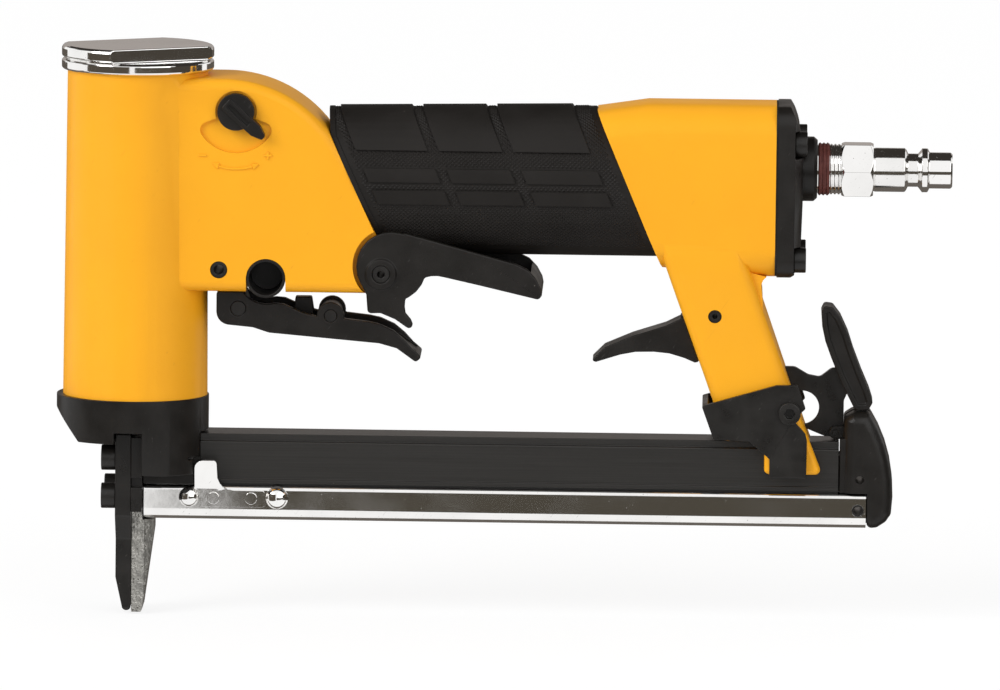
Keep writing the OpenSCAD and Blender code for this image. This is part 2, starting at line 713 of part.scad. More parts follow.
module valve_stem() color(brass) translate([stem_x, 0, body_z]) {
    translate([0, 0, -stem_drop]) cylinder(d1 = stem_d - 1.2, d2 = stem_d, h = 0.6);
    translate([0, 0, -stem_drop + 0.6]) cylinder(d = stem_d, h = stem_drop + 10.4);
    translate([0, 0, stem_collar_z]) cylinder(r = valve_chamber_r - run, h = 1.5);
}

module valve_spring() color(steel) translate([stem_x, 0, body_z + stem_collar_z + 1.9])
    coil(stem_d / 2 + 0.85, 0.6, 6, valve_h - stem_collar_z - 2.6);

// Black sleeve that crosses the body over the trigger, closed by a web in the middle
module cross_sleeve() color(plastic_black) difference() {
    cross_bar(sleeve_at, sleeve_d, body_w - 0.2);
    both_sides(sleeve_web / 2, body_w) translate(sleeve_at) circle(d = sleeve_d - 1.6);
}

// Safety lever: a trough under the grip, two cheeks at its pivot and a tail beside the trigger
module lever_outline() translate(lever_pivot) eased(1) {
    polygon([[-6.6, 0], [lever_boss[0], 0], [6, 11.3], [26.4, 5.9], [36.4, 3.2], [39.6, 1.7],
        [41.8, -0.6], [43.2, -3.2], [43.6, -5.2],
        [42.6, -6.4], [26.5, -2.7], each arc([14.7, -8.5], 8.2, 74, 194, 10), [8.2, -12.2], [9, -14.1],
            [8.6, -15.4], [3.9, -12.2], [0, -10.6], [-3.5, -10.7], [-3.9, -5.6]]);
    translate(lever_boss) circle(r = 9.5);
}

module safety_lever() color(plastic_black) difference() {
    union() {
        upright(lever_w) lever_outline();
        both_sides(lever_w / 2, lever_w / 2 + 0.7) translate(lever_pivot) circle(d = 8.3);
    }
    upright(lever_w - 2 * lever_t) {
        translate([-lever_t, lever_floor]) lever_outline();
        translate([-lever_t, lever_floor + 5]) lever_outline();
        translate(lever_pivot - [20, 30]) square([32, 60]);
        translate(lever_pivot + [lever_reach - 11, end_wall_h]) square([20, 12]);
    }
    block([lever_pivot[0] - 12, 0, 0], [lever_pivot[0] + 12, lever_w, lever_pivot[1] - 9]);
    cross_bar(lever_pivot, lever_pin_d + 2 * fit, 2 * lever_w);
}

module safety_lever_pin() color(steel_black) difference() {
    cross_bar(lever_pivot, lever_pin_d, lever_w + 1);
    cross_bar(lever_pivot, lever_pin_d - 2.6, lever_w + 2);
}

// Regulator knob with its pointer and spindle
module regulator_knob() color(plastic_black) translate([knob_at[0], -body_w / 2 + recess_t, knob_at[1]])
    rotate([90, 0, 0]) {
    translate([0, 0, run]) cylinder(d = knob_d, h = knob_t);
    difference() {
        rotate(knob_angle - 90) translate([0, 0, run]) linear_extrude(knob_t + 1.2) eased(0.6)
            polygon([[-3.6, -pointer_w / 2], [pointer_l - 3, -pointer_w / 2], [pointer_l, -0.7],
                [pointer_l, 0.7],
                [pointer_l - 3, pointer_w / 2], [-3.6, pointer_w / 2]]);
        rotate(knob_angle - 90) translate([-2.8, -0.6, knob_t + 0.5]) cube([7.6, 1.2, 2]);
    }
    translate([0, 0, -spindle_l + recess_t]) cylinder(d = spindle_d, h = spindle_l - recess_t + run);
}

// Rubber sleeve of the handle, with raised pads
module grip_shape(out) hull() {
    along(front_low_x - 30, front_low_x - 29.9)
        polygon(ellipse(grip_w / 2 + out, grip_h / 2 + out, chamber_z));
    along(body_l - 20, body_l - 19.9)
        polygon(ellipse(grip_w / 2 + out, (grip_h + grip_taper) / 2 + out, chamber_z + grip_taper / 2));
}

module grip_side() polygon([[front_plane(grip_z - 2), grip_z - 2], [rear_plane(grip_z - 2), grip_z - 2],
    [rear_plane(block_top), block_top], [grip_lip_x, block_top], [grip_lip_x, grip_z + 40],
    [front_plane(grip_z + 33), grip_z + 33]]);

// One slanted pad between two stations along the grip and two heights
module pad_side(x0, x1, z0, z1) {
    lean = tan(rear_slant);
    polygon([[x0 - (z0 - grip_z) * lean, z0], [x1 - (z0 - grip_z) * lean, z0],
        [x1 - (z1 - grip_z) * lean, z1], [x0 - (z1 - grip_z) * lean, z1]]);
}

module grip_sleeve() color(rubber_black) difference() {
    union() {
        intersection() {
            grip_shape(0);
            upright(2 * grip_w) grip_side();
        }
        intersection() {
            grip_shape(pad_t);
            upright(2 * grip_w) for (span = pad_spans) {
                pad_side(span[0], span[1], grip_z + panel_rise, grip_z + 60);
                for (row = bar_rises) pad_side(span[0], span[1], grip_z + row, grip_z + row + bar_h);
            }
        }
        intersection() {
            grip_shape(pad_t / 2);
            upright(2 * grip_w) difference() {
                grip_side();
                translate([rim_w, 0]) grip_side();
            }
        }
    }
    along(front_plane(chamber_z) - 6, rear_plane(chamber_z) + 20) offset(delta = fit)
        polygon(handle_core());
    upright(3 * grip_w) offset(delta = fit) ahead_of_grip();
    upright(3 * grip_w) offset(delta = fit) polygon([[rear_plane(0), 0], [body_l + 90, 0],
        [body_l + 90, 2 * head_top],
        [rear_plane(2 * head_top), 2 * head_top]]);
    upright(2 * strut_w) offset(delta = fit) strut_outline();
}

// Rear cover, its gasket and screws
module cover_outline(inset) eased(5) translate([-body_w / 2 + inset, block_z + inset])
    square([body_w - 2 * inset, block_top - block_z - 2 * inset]);

module cover_gasket() color(rubber_black) difference() {
    along(body_l, body_l + gasket_t) cover_outline(0.3);
    axle(body_l - 1, body_l + 2, 0, chamber_z, 2 * chamber_r);
    cover_screw_holes();
}

module cover_screw_holes() for (at = cover_screw_places)
    axle(body_l - 1, body_l + 20, at[0], at[1], cover_screw_d + 2 * fit);

// The cover's back, seen from the side and from above
module cover_side() polygon([[body_l, block_top], [body_l + cover_t * 0.52, block_top],
    [body_l + cover_t * 0.68, block_top - 2.3], [body_l + cover_t * 0.81, block_top - 4.9],
    [body_l + cover_t * 0.91, block_top - 8], [body_l + cover_t, block_top - 15],
        [body_l + cover_t, block_z + 20],
    [body_l + cover_t * 0.95, block_z + 8], [body_l + cover_t * 0.88, block_z + 4],
    [body_l + cover_t * 0.76, block_z + 1.3], [body_l + cover_t * 0.55, block_z], [body_l, block_z]]);

module cover_plan() polygon([[body_l, -body_w / 2], [body_l + cover_t * 0.7, -body_w / 2],
    [body_l + cover_t, -body_w / 2 + 4.4], [body_l + cover_t, body_w / 2 - 4.4],
    [body_l + cover_t * 0.7, body_w / 2], [body_l, body_w / 2]]);

module rear_cover() color(plastic_black) difference() {
    union() {
        intersection() {
            along(body_l + gasket_t, body_l + cover_t) cover_outline(0);
            upright(2 * body_w) cover_side();
            linear_extrude(2 * head_top) cover_plan();
        }
        translate([body_l + 2, 0, air_z]) rotate([0, 90, 0]) rotate_extrude() polygon([[0, 0],
            [port_d / 2, 0],
            [port_d / 2, cover_t + port_h - 3], [port_d / 2 - 0.9, cover_t + port_h - 2],
                [0, cover_t + port_h - 2]]);
    }
    axle(body_l - 1, body_l + cover_t + port_h + 1, 0, air_z, thread_d + 2 * fit);
    cover_screw_holes();
    for (at = cover_screw_places) {
        axle(cover_seat, body_l + 40, at[0], at[1], cover_head_d + 2 * run);
        side = sign(at[0]);
        translate([cover_seat, side > 0 ? at[0] : at[0] - body_w, at[1] - cover_head_d / 2 - run])
            cube([40, body_w, cover_head_d + 2 * run]);
    }
}

module cover_screws() color(steel_black) for (at = cover_screw_places) difference() {
    union() {
        axle(cover_seat, cover_seat + cover_head_l, at[0], at[1], cover_head_d);
        axle(body_l - 10, cover_seat, at[0], at[1], cover_screw_d);
    }
    translate([cover_seat + 1.3, at[0], at[1]]) rotate([0, 90, 0]) cylinder(d = 3.2, h = 3, $fn = 6);
}

// Air plug, screwed into the cover's port
module air_plug() color(chrome) difference() {
    union() {
        axle(plug_x - 14, plug_x + 1, 0, air_z, thread_d);
        intersection() {
            translate([plug_x, 0, air_z]) rotate([0, 90, 0]) rotate(30) cylinder(d = hex_w / cos(30),
                h = hex_l, $fn = 6);
            translate([plug_x, 0, air_z]) rotate([0, 90, 0]) rotate_extrude() polygon([[0, 0],
                [hex_w * 0.5, 0],
                [hex_w * 0.58, 0.9], [hex_w * 0.58, hex_l - 0.9], [hex_w * 0.5, hex_l], [0, hex_l]]);
        }
        translate([plug_x + hex_l, 0, air_z]) rotate([0, 90, 0]) rotate_extrude() polygon([[0, -1],
            [tip_r + 0.9, -1], [tip_r + 0.9, 0], [tip_r + 1.05, 0.6], [tip_r + 1.05, 8.5],
                [tip_r + 0.6, 8.9], [tip_r - 0.4, 9.4],
            [tip_r - 0.4, 12.1], [tip_r + 0.6, 12.9], [tip_r + 1.05, 13.2], [tip_r + 1.05, 14.6],
                [tip_r + 0.7, 14.9],
            [tip_r, 15.2], [tip_r, 20.9], [tip_r - 0.5, 21.4], [0, 21.4]]);
    }
    axle(plug_x - 15, plug_x + 40, 0, air_z, plug_bore_d);
}

// Sealant on the plug's thread
module thread_seal() color(seal_red) difference() {
    axle(plug_x - 6.3, plug_x - 3.2, 0, air_z, thread_d + 0.7);
    axle(plug_x - 7, plug_x, 0, air_z, thread_d + 2 * fit);
}

// Finger rest on the front of the strut
module horn_root() {
    z = horn_pin[1];
    polygon([[strut_front(z - 1.3) - 1, z - 1.3], [strut_front(z - 13.5) - 1, z - 13.5],
        [strut_front(z - 11) + 5, z - 11],
        horn_pin + [4, -1], horn_pin + [2.6, 3.6], horn_pin + [-2.6, 3.6]]);
}

module finger_rest() color(plastic_black) {
    x = strut_front(horn_pin[1]);
    z = horn_pin[1];
    difference() {
        union() {
            upright(horn_w - 2 * fit) horn_root();
            upright(horn_w + 2) eased(0.5) difference() {
                polygon([[x - 24.6, z - 13.3], [x - 21, z - 9.7], [x - 13.5, z - 6.5], [x - 4.5, z - 3.6],
                    [x + 0.3, z - 1.2],
                    [x + 4.6, z - 13.4], [x + 3.4, z - 13.6], [x + 0.6, z - 12.4], [x - 3.5, z - 11.2],
                        [x - 7.7, z - 10.8],
                    [x - 12.7, z - 10.9], [x - 16.8, z - 11.7], [x - 23.4, z - 13.8]]);
                offset(delta = fit) strut_outline();
            }
        }
        cross_bar(horn_pin, horn_pin_d + 2 * fit, 2 * strut_w);
    }
}

module finger_rest_pin() color(steel_black) difference() {
    cross_bar(horn_pin, horn_pin_d, strut_width(horn_pin[1]) - 0.6);
    cross_bar(horn_pin, horn_pin_d - 2.2, body_w + 1);
}

// Magazine body: an upturned channel with a flange that runs inside the slide
module magazine_body() color(steel_black) along(mag_x, mag_end) difference() {
    union() {
        translate([-mag_w / 2 + 1, mag_z]) square([mag_w - 2, mag_h]);
        translate([-mag_w / 2, mag_z]) eased(0.4) square([mag_w, mag_h - 1.9]);
        translate([-mag_w / 2 - 0.4, mag_z]) square([mag_w + 0.8, 1.2]);
        translate([-lip_inner + run, flange_z]) square([2 * (lip_inner - run), mag_z - flange_z + 1]);
        translate([-slide_w / 2 + slide_t + run, flange_z])
            square([slide_w - 2 * slide_t - 2 * run, slide_top - slide_t - run - flange_z]);
    }
    translate([-channel_w / 2, 0]) square([channel_w, channel_z]);
}

// Sheet steel saddle that clamps the strut's foot over the magazine
module bracket_outline() translate([mag_end, mag_top]) eased(0.5) polygon([[-37.3, 10], [-17.1, 15.9],
    [-11.4, 16],
    [-9.2, 9.6], [-12.6, 6.4], [-10.8, 4.6], [-9.2, 2.8], [-8.7, 0.7], [-8.8, -9.3], [-18.8, -9.3],
        [-18.8, -4.2],
    [-24.4, 0.6], [-34, 0.9]]);

module magazine_bracket() color(steel_black) difference() {
    upright(bracket_w) bracket_outline();
    upright(bracket_w - 2 * bracket_t) translate([mag_end + bracket_t * 1.06, mag_top])
        polygon([[-40.9, 20], [0, 30], [0, -20], [-31.5, -6]]);
    cross_bar(bolt_at, bolt_d + 2 * fit, 2 * bracket_w);
}

module bracket_bolt() color(steel_black) difference() {
    union() {
        translate([bolt_at[0], -bracket_w / 2, bolt_at[1]]) rotate([90, 0, 0])
            cylinder(d = bolt_head_d, h = bolt_head_l);
        between(-bracket_w / 2, bracket_w / 2 + 3.6) translate(bolt_at) circle(d = bolt_d);
    }
    translate([bolt_at[0], -bracket_w / 2 - 0.8, bolt_at[1]]) rotate([90, 0, 0])
        cylinder(d = 3, h = 4, $fn = 6);
}

module bracket_nut() color(steel_black) translate([bolt_at[0], bracket_w / 2 + 2.8, bolt_at[1]])
    rotate([90, 0, 0])
    difference() {
        cylinder(d = 7.6, h = 2.8, $fn = 6);
        translate([0, 0, -1]) cylinder(d = bolt_d + 2 * fit, h = 5);
    }

// Chromed slide that closes the magazine from below
module slide_outline() {
    half = slide_w / 2;
    polygon(concat(arc([half - slide_low_r, track_z + slide_low_r], slide_low_r, 270, 360, 7),
        arc([half - slide_top_r, slide_top - slide_top_r], slide_top_r, 0, 90, 4),
        arc([-half + slide_top_r, slide_top - slide_top_r], slide_top_r, 90, 180, 4),
        arc([-half + slide_low_r, track_z + slide_low_r], slide_low_r, 180, 270, 7)));
}

module slide_hollow() {
    offset(delta = -slide_t) slide_outline();
    translate([-lip_inner, track_z + slide_h / 2]) square([2 * lip_inner, slide_h]);
}

module magazine_slide() color(chrome) difference() {
    union() {
        along(slide_x, slide_end) slide_outline();
        for (side = [-1, 1], dome = [[15.1, 3.1], [39, 3.4]])
            translate([dome[0], side * (slide_w / 2 - 1.6), track_z + 6.3]) sphere(r = dome[1]);
    }
    along(slide_x - 1, slide_end + 1) slide_hollow();
    cross_bar([end_pin_x, end_pin_z], end_pin_d + 2 * fit, 2 * slide_w);
}

// Core inside the slide: a channel that the staples straddle
module staple_core() color(steel) along(slide_x + 0.4, core_end) difference() {
    translate([-core_w / 2, core_z]) square([core_w, core_top - core_z]);
    translate([-core_w / 2 + core_wall, core_z + core_wall]) square([core_w - 2 * core_wall, 30]);
}

// Sprung guide plates with a finger tab, riveted to the slide's sides
module guide_plates() color(chrome) difference() {
    union() {
        both_sides(slide_w / 2, slide_w / 2 + guide_t) translate([0, track_z]) eased(0.5)
            polygon([[18.4, 3.8], [35.6, 3.8],
            [35.6, 8.2], [27.4, 8.3], [25.6, 8.6], [24.6, tab_z + 0.4], [tab_x, tab_z + 0.4],
                [18.4, 7.2]]);
        for (side = [0, 1]) mirror([0, side, 0]) translate([0, -slide_w / 2, track_z + tab_z])
            rotate([tab_lean + 90, 0, 0])
            linear_extrude(guide_t) polygon(concat([[tab_x, 0]], arc([tab_x + 2.2, tab_h - tab_z - 2.2],
                2.2, 180, 90, 4),
                arc([tab_x + 5.1, tab_h - tab_z - 0.9], 0.9, 90, 0, 3), [[tab_x + 6.2, 3.2],
                    [tab_x + 6.9, 1.6], [tab_x + 8.2, 0]]));
    }
    for (at = rivet_places) cross_bar(at + [0, track_z], rivet_d + 2 * fit, 2 * slide_w);
}

module guide_rivets() color(steel) for (side = [0, 1], at = rivet_places) mirror([0, side, 0])
    translate([at[0], -slide_w / 2, track_z + at[1]]) rotate([90, 0, 0]) {
        cylinder(d = rivet_d, h = guide_t);
        translate([0, 0, guide_t]) cylinder(d = 3.3, h = 0.4);
    }

// Pusher that straddles the core, with a tongue for the spring
module pusher() color(steel) difference() {
    along(pusher_x, pusher_x + pusher_l) {
        difference() {
            translate([-channel_w / 2 + run, flange_z + 0.6])
                square([channel_w - 2 * run, channel_z - run - flange_z - 0.6]);
            translate([-core_w / 2 - run, 0]) square([core_w + 2 * run, core_top + run]);
        }
        translate([-core_w / 2 + core_wall + run, core_z + core_wall + run])
            square([core_w - 2 * core_wall - 2 * run, core_top - core_z - core_wall + 0.2]);
    }
    axle(pusher_x - 1, pusher_x + pusher_l + 1, 0, rod_z, rod_d + 3 * fit);
}

module pusher_rod() color(steel) axle(slide_x + 1, slide_end - 1, 0, rod_z, rod_d);

module pusher_spring() color(steel) translate([pusher_x + pusher_l + 0.4, 0, rod_z]) rotate([0, 90, 0])
    coil(rod_d / 2 + 0.65, 0.5, pusher_turns, core_end - 0.8 - pusher_x - pusher_l);

// End cap of the slide
module end_cap_outline() translate([slide_end, track_z]) eased(1.2) polygon(concat([[1, 0], [-6.4, 9],
    [-6.2, 30], [-3.9, 31.5]],
    arc([-33, 9.5], 40.2, 33.2, -8, 6), [[5.4, 1.8], [3, 0.2]]));

module end_cap() color(plastic_black) difference() {
    union() {
        difference() {
            soft_slab(slide_w + 0.6, 3) end_cap_outline();
            block([slide_x, -slide_w, 0], [slide_end + run, slide_w, slide_top + run]);
        }
        along(mag_end + 1.6, slide_end + 2) intersection() {
            offset(delta = -slide_t - run) slide_outline();
            translate([-slide_w / 2 + slide_t + 0.9, core_z + 0.1])
                square([slide_w - 2 * slide_t - 1.8, slide_h - 2 * slide_t - 0.2]);
        }
        block([mag_end + run, -mag_w / 2 - 0.5, slide_top + run],
            [slide_end - 4, mag_w / 2 + 0.5, mag_top + 1]);
        block([mag_end - 2, -channel_w / 2 + run, slide_top + run],
            [mag_end + 1, channel_w / 2 - run, channel_z - run]);
        both_sides(latch_t / 2 + run, latch_t / 2 + run + 2) {
            translate(latch_at) circle(r = 1.7);
            translate(latch_at - [0, 1.7]) square([4, 3.4]);
        }
    }
    block([slide_x, -core_w / 2 - fit, core_z - 1], [core_end + fit, core_w / 2 + fit, core_top + fit]);
    axle(slide_x, slide_end, 0, rod_z, rod_d + 2 * fit);
    upright(latch_t + 2 * run) translate(latch_at) polygon([[-4, -3], [3, -3], [9.4, 2], [9.4, 9],
        [-4, 9]]);
    cross_bar(latch_at, latch_pin_d + 2 * fit, slide_w);
    cross_bar([end_pin_x, end_pin_z], end_pin_d + 2 * fit, 2 * slide_w);
    cross_bar([slide_end - 1.8, track_z + 13.4], 2.2, 2 * slide_w);
}

module end_cap_pin() color(steel_black) difference() {
    cross_bar([end_pin_x, end_pin_z], end_pin_d, slide_w - 0.4);
    cross_bar([end_pin_x, end_pin_z], end_pin_d - 1, slide_w);
}

// Latch: a steel plate with an overmoulded thumb lever
module latch_plate() color(steel_black) difference() {
    upright(latch_t) translate(latch_at) difference() {
        eased(1.7) polygon([[-15.5, 17.6], [-11.2, 17.6], [-7.6, 15.5], [-4.4, 14.9], [-1.2, 17.4],
            [1, 17.4], [3.6, 11.8],
            [2.2, 8.6], [2.2, -1.5], [-3, -1.2], [-8.4, 1], [-15.5, 5]]);
        translate([-9.1, 6.5]) circle(r = 4.6);
        translate([-20, 1.9]) square([10.9, 9.2]);
    }
    cross_bar(latch_at, latch_pin_d + 2 * fit, 10);
}

module thumb_outline() translate(latch_at) eased(0.9) polygon([[-3.5, 34.8], [-4.3, 33.1], [-4, 29.2],
    [-3.1, 25.2],
    [-1.4, 20.6], [0.8, 15.3], [3.4, 10], [5.2, 6.5], [8.8, 6.5], [10, 8.6], [8.9, 12], [6.8, 16.8],
        [4.5, 22.7], [3, 27.3],
    [0.9, 31.8], [-1.2, 34.5]]);

module thumb_lever() color(plastic_black) difference() {
    upright(thumb_w) thumb_outline();
    both_sides(thumb_w / 2 - 0.5, thumb_w) offset(delta = -1.5) thumb_outline();
    upright(latch_t + 2 * fit) translate(latch_at) polygon([[-6, 8], [2.2, 8], [3.7, 11.8], [1.1, 17.5],
        [-6, 17.5]]);
}

module latch_pin() color(steel) cross_bar(latch_at, latch_pin_d, latch_t + 2 * run + 4);

housing();
cylinder_cap();
cap_o_ring();
head_valve();
head_valve_spring();
cylinder_liner();
piston();
piston_ring();
driver_blade();
bumper();
nose_collar();
nose_front_plate();
nose_spacer();
nose_guide();
nose_screws();
trigger_hanger();
hanger_pin();
trigger();
trigger_pin();
trigger_cross_pin();
trigger_spacer();
valve_body();
valve_stem();
valve_spring();
cross_sleeve();
safety_lever();
safety_lever_pin();
regulator_knob();
grip_sleeve();
cover_gasket();
rear_cover();
cover_screws();
air_plug();
thread_seal();
finger_rest();
finger_rest_pin();
magazine_body();
magazine_bracket();
bracket_bolt();
bracket_nut();
magazine_slide();
staple_core();
guide_plates();
guide_rivets();
pusher();
pusher_rod();
pusher_spring();
end_cap();
end_cap_pin();
latch_plate();
thumb_lever();
latch_pin();
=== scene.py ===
import json
import math
import bmesh
import bpy
from mathutils import Matrix, Vector
from mathutils.bvhtree import BVHTree


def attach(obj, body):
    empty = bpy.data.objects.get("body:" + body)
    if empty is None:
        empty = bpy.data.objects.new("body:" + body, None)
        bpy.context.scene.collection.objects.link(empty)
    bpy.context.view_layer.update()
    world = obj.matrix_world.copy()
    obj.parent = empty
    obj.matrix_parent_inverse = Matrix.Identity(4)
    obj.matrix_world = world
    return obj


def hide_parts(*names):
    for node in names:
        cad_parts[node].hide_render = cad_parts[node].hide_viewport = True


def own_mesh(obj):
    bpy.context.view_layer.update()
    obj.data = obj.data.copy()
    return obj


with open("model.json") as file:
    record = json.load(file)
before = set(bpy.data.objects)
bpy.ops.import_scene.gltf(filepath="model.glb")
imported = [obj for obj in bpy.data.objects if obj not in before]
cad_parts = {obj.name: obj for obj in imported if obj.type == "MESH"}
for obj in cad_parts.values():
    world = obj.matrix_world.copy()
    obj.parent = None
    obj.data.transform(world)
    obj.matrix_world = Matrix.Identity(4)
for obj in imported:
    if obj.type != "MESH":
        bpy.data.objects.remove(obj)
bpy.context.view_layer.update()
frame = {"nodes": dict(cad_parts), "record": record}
nodeOf = frame["nodes"]
bodyOf = {n: b for b, names in frame["record"]["behaviour"]["bodies"].items() for n in names}
mm = 0.001
print("frame loaded with", len(nodeOf), "nodes")

# camera: a long lens, a little above the tool
shot = {"target": (0.0988, 0.0, 0.0734), "distance": 3.5, "azimuth": 1.0, "elevation": 7.0, "roll": 0.67,
        "lens": 464.8, "sensor": 36, "farthest": 50}


def placeCamera(s):
    az = math.radians(s["azimuth"])
    el = math.radians(s["elevation"])
    back = Vector((math.sin(az) * math.cos(el), -math.cos(az) * math.cos(el), math.sin(el)))
    right = Vector((math.cos(az), math.sin(az), 0))
    up = back.cross(right)
    turn = Matrix.Rotation(math.radians(s["roll"]), 3, back)
    right, up = turn @ right, turn @ up
    spot = Vector(s["target"]) + back * s["distance"]
    data = bpy.data.cameras.new("camera")
    data.lens = s["lens"]
    data.sensor_width = s["sensor"]
    data.clip_end = s["farthest"]
    camera = bpy.data.objects.new("camera", data)
    camera.matrix_world = Matrix(((right.x, up.x, back.x, spot.x), (right.y, up.y, back.y, spot.y),
                                  (right.z, up.z, back.z, spot.z), (0, 0, 0, 1)))
    bpy.context.collection.objects.link(camera)
    bpy.context.scene.camera = camera


placeCamera(shot)

# studio: white floor and world, two broad suns, two soft lamps, and toned cards seen in reflections only
studio = {
    "aim": (0.1, 0, 0.07),
    "worldStrength": 0.4,
    "floorSize": 8.0,
    "floorZ": -0.0006,
    "floorTone": (0.93, 0.93, 0.93),
    "floorShare": 0.8,
    "floorGlow": 1.05,
    "suns": [
        {"name": "keySun", "from": (-1.3, -1.0, 0.95), "power": 2.1, "angle": 40},
        {"name": "fillSun", "from": (0.9, -1.0, 0.6), "power": 0.78, "angle": 60},
    ],
    "lamps": [
        {"name": "fillLamp", "at": (1.3, -1.3, 0.8), "size": 0.8, "power": 2},
        {"name": "topLamp", "at": (0.1, 0.3, 1.5), "size": 1.0, "power": 2.5},
    ],
    "cards": [
        {"name": "frontCard", "at": (2.0, -2.0, -0.305), "size": (4.14, 0.71), "tilt": 90, "turn": 0,
         "tone": (0.075, 0.066, 0.052)},
        {"name": "sideCard", "at": (2.6, -0.3, 0.1), "size": (3.2, 1.9), "tilt": 90, "turn": 90,
         "tone": (0.060, 0.052, 0.042)},
        {"name": "topCard", "at": (0.1, 1.7, 1.6), "size": (5.0, 4.4), "tilt": 0, "turn": 0,
         "tone": (0.036, 0.032, 0.028)},
        {"name": "backCard", "at": (0.1, 4.0, 0.95), "size": (5.0, 1.35), "tilt": 90, "turn": 0,
         "tone": (0.38, 0.345, 0.322)},
        {"name": "farCard", "at": (0.1, 4.05, -0.5), "size": (9.0, 1.5), "tilt": 90, "turn": 0,
         "tone": (0.11, 0.095, 0.08)},
        {"name": "leftCard", "at": (-1.175, -1.15, 0.1), "size": (2.3, 1.9), "tilt": 90, "turn": 135.9,
         "tone": (0.085, 0.072, 0.056)},
        {"name": "lowCard", "at": (0.1, 1.56, -0.6), "size": (5.0, 3.1), "tilt": 0, "turn": 0,
         "tone": (0.14, 0.125, 0.11)},
    ],
}


def paintCard(name, tone):
    mat = bpy.data.materials.new(name)
    mat.use_nodes = True
    shader = mat.node_tree.nodes["Principled BSDF"]
    shader.inputs["Base Color"].default_value = (0, 0, 0, 1)
    shader.inputs["Specular IOR Level"].default_value = 0
    shader.inputs["Emission Color"].default_value = (*tone, 1)
    shader.inputs["Emission Strength"].default_value = 1
    return mat


def addSheet(name, size, at, tilt, turn, mat):
    x = size[0] / 2
    y = size[1] / 2
    mesh = bpy.data.meshes.new(name)
    mesh.from_pydata([(-x, -y, 0), (x, -y, 0), (x, y, 0), (-x, y, 0)], [], [(0, 1, 2, 3)])
    stand = Matrix.Rotation(math.radians(turn), 4, "Z") @ Matrix.Rotation(math.radians(tilt), 4, "X")
    mesh.transform(Matrix.Translation(at) @ stand)
    mesh.materials.append(mat)
    sheet = bpy.data.objects.new(name, mesh)
    bpy.context.collection.objects.link(sheet)
    return sheet


def buildWorld(strength):
    world = bpy.data.worlds.new("studioWorld")
    bpy.context.scene.world = world
    world.use_nodes = True
    tree = world.node_tree
    tree.nodes.clear()
    out = tree.nodes.new("ShaderNodeOutputWorld")
    light = tree.nodes.new("ShaderNodeBackground")
    light.inputs["Color"].default_value = (1, 1, 1, 1)
    light.inputs["Strength"].default_value = strength
    seen = tree.nodes.new("ShaderNodeBackground")
    seen.inputs["Color"].default_value = (1, 1, 1, 1)
    path = tree.nodes.new("ShaderNodeLightPath")
    mix = tree.nodes.new("ShaderNodeMixShader")
    total = path.outputs["Is Camera Ray"]
    for kind in ("Is Glossy Ray", "Is Transmission Ray"):
        add = tree.nodes.new("ShaderNodeMath")
        add.operation = "MAXIMUM"
        tree.links.new(total, add.inputs[0])
        tree.links.new(path.outputs[kind], add.inputs[1])
        total = add.outputs[0]
    tree.links.new(total, mix.inputs[0])
    tree.links.new(light.outputs[0], mix.inputs[1])
    tree.links.new(seen.outputs[0], mix.inputs[2])
    tree.links.new(mix.outputs[0], out.inputs["Surface"])


def buildFloorPaint(tone, share, glowStrength):
    mat = bpy.data.materials.new("floorWhite")
    mat.use_nodes = True
    tree = mat.node_tree
    tree.nodes.clear()
    out = tree.nodes.new("ShaderNodeOutputMaterial")
    matte = tree.nodes.new("ShaderNodeBsdfDiffuse")
    matte.inputs["Color"].default_value = (*tone, 1)
    glow = tree.nodes.new("ShaderNodeEmission")
    glow.inputs["Strength"].default_value = glowStrength
    path = tree.nodes.new("ShaderNodeLightPath")
    part = tree.nodes.new("ShaderNodeMath")
    part.operation = "MULTIPLY"
    part.inputs[1].default_value = share
    mix = tree.nodes.new("ShaderNodeMixShader")
    tree.links.new(path.outputs["Is Camera Ray"], part.inputs[0])
    tree.links.new(part.outputs[0], mix.inputs[0])
    tree.links.new(matte.outputs[0], mix.inputs[1])
    tree.links.new(glow.outputs[0], mix.inputs[2])
    tree.links.new(mix.outputs[0], out.inputs["Surface"])
    return mat


def addLight(name, kind, at, power, aim):
    data = bpy.data.lights.new(name, kind)
    data.energy = power
    light = bpy.data.objects.new(name, data)
    light.location = at
    light.rotation_euler = (Vector(aim) - Vector(at)).to_track_quat("-Z", "Y").to_euler()
    bpy.context.collection.objects.link(light)
    return light


def buildStudio(s):
    bpy.context.scene.view_settings.view_transform = "Standard"
    buildWorld(s["worldStrength"])
    for sun in s["suns"]:
        light = addLight(sun["name"], "SUN", sun["from"], sun["power"], s["aim"])
        light.data.angle = math.radians(sun["angle"])
    for lamp in s["lamps"]:
        light = addLight(lamp["name"], "AREA", lamp["at"], lamp["power"], s["aim"])
        light.data.size = lamp["size"]
        light.visible_glossy = False
    paint = buildFloorPaint(s["floorTone"], s["floorShare"], s["floorGlow"])
    ground = addSheet("floor", (s["floorSize"], s["floorSize"]), (0, 0, s["floorZ"]), 0, 0, paint)
    ground.visible_glossy = False  # the cards and the white world are mirrored instead
    for card in s["cards"]:
        paint = paintCard(card["name"], card["tone"])
        sheet = addSheet(card["name"], card["size"], card["at"], card["tilt"], card["turn"], paint)
        sheet.visible_camera = False
        sheet.visible_diffuse = False
        sheet.visible_shadow = False
        sheet.visible_transmission = False


buildStudio(studio)
print("camera and studio placed")


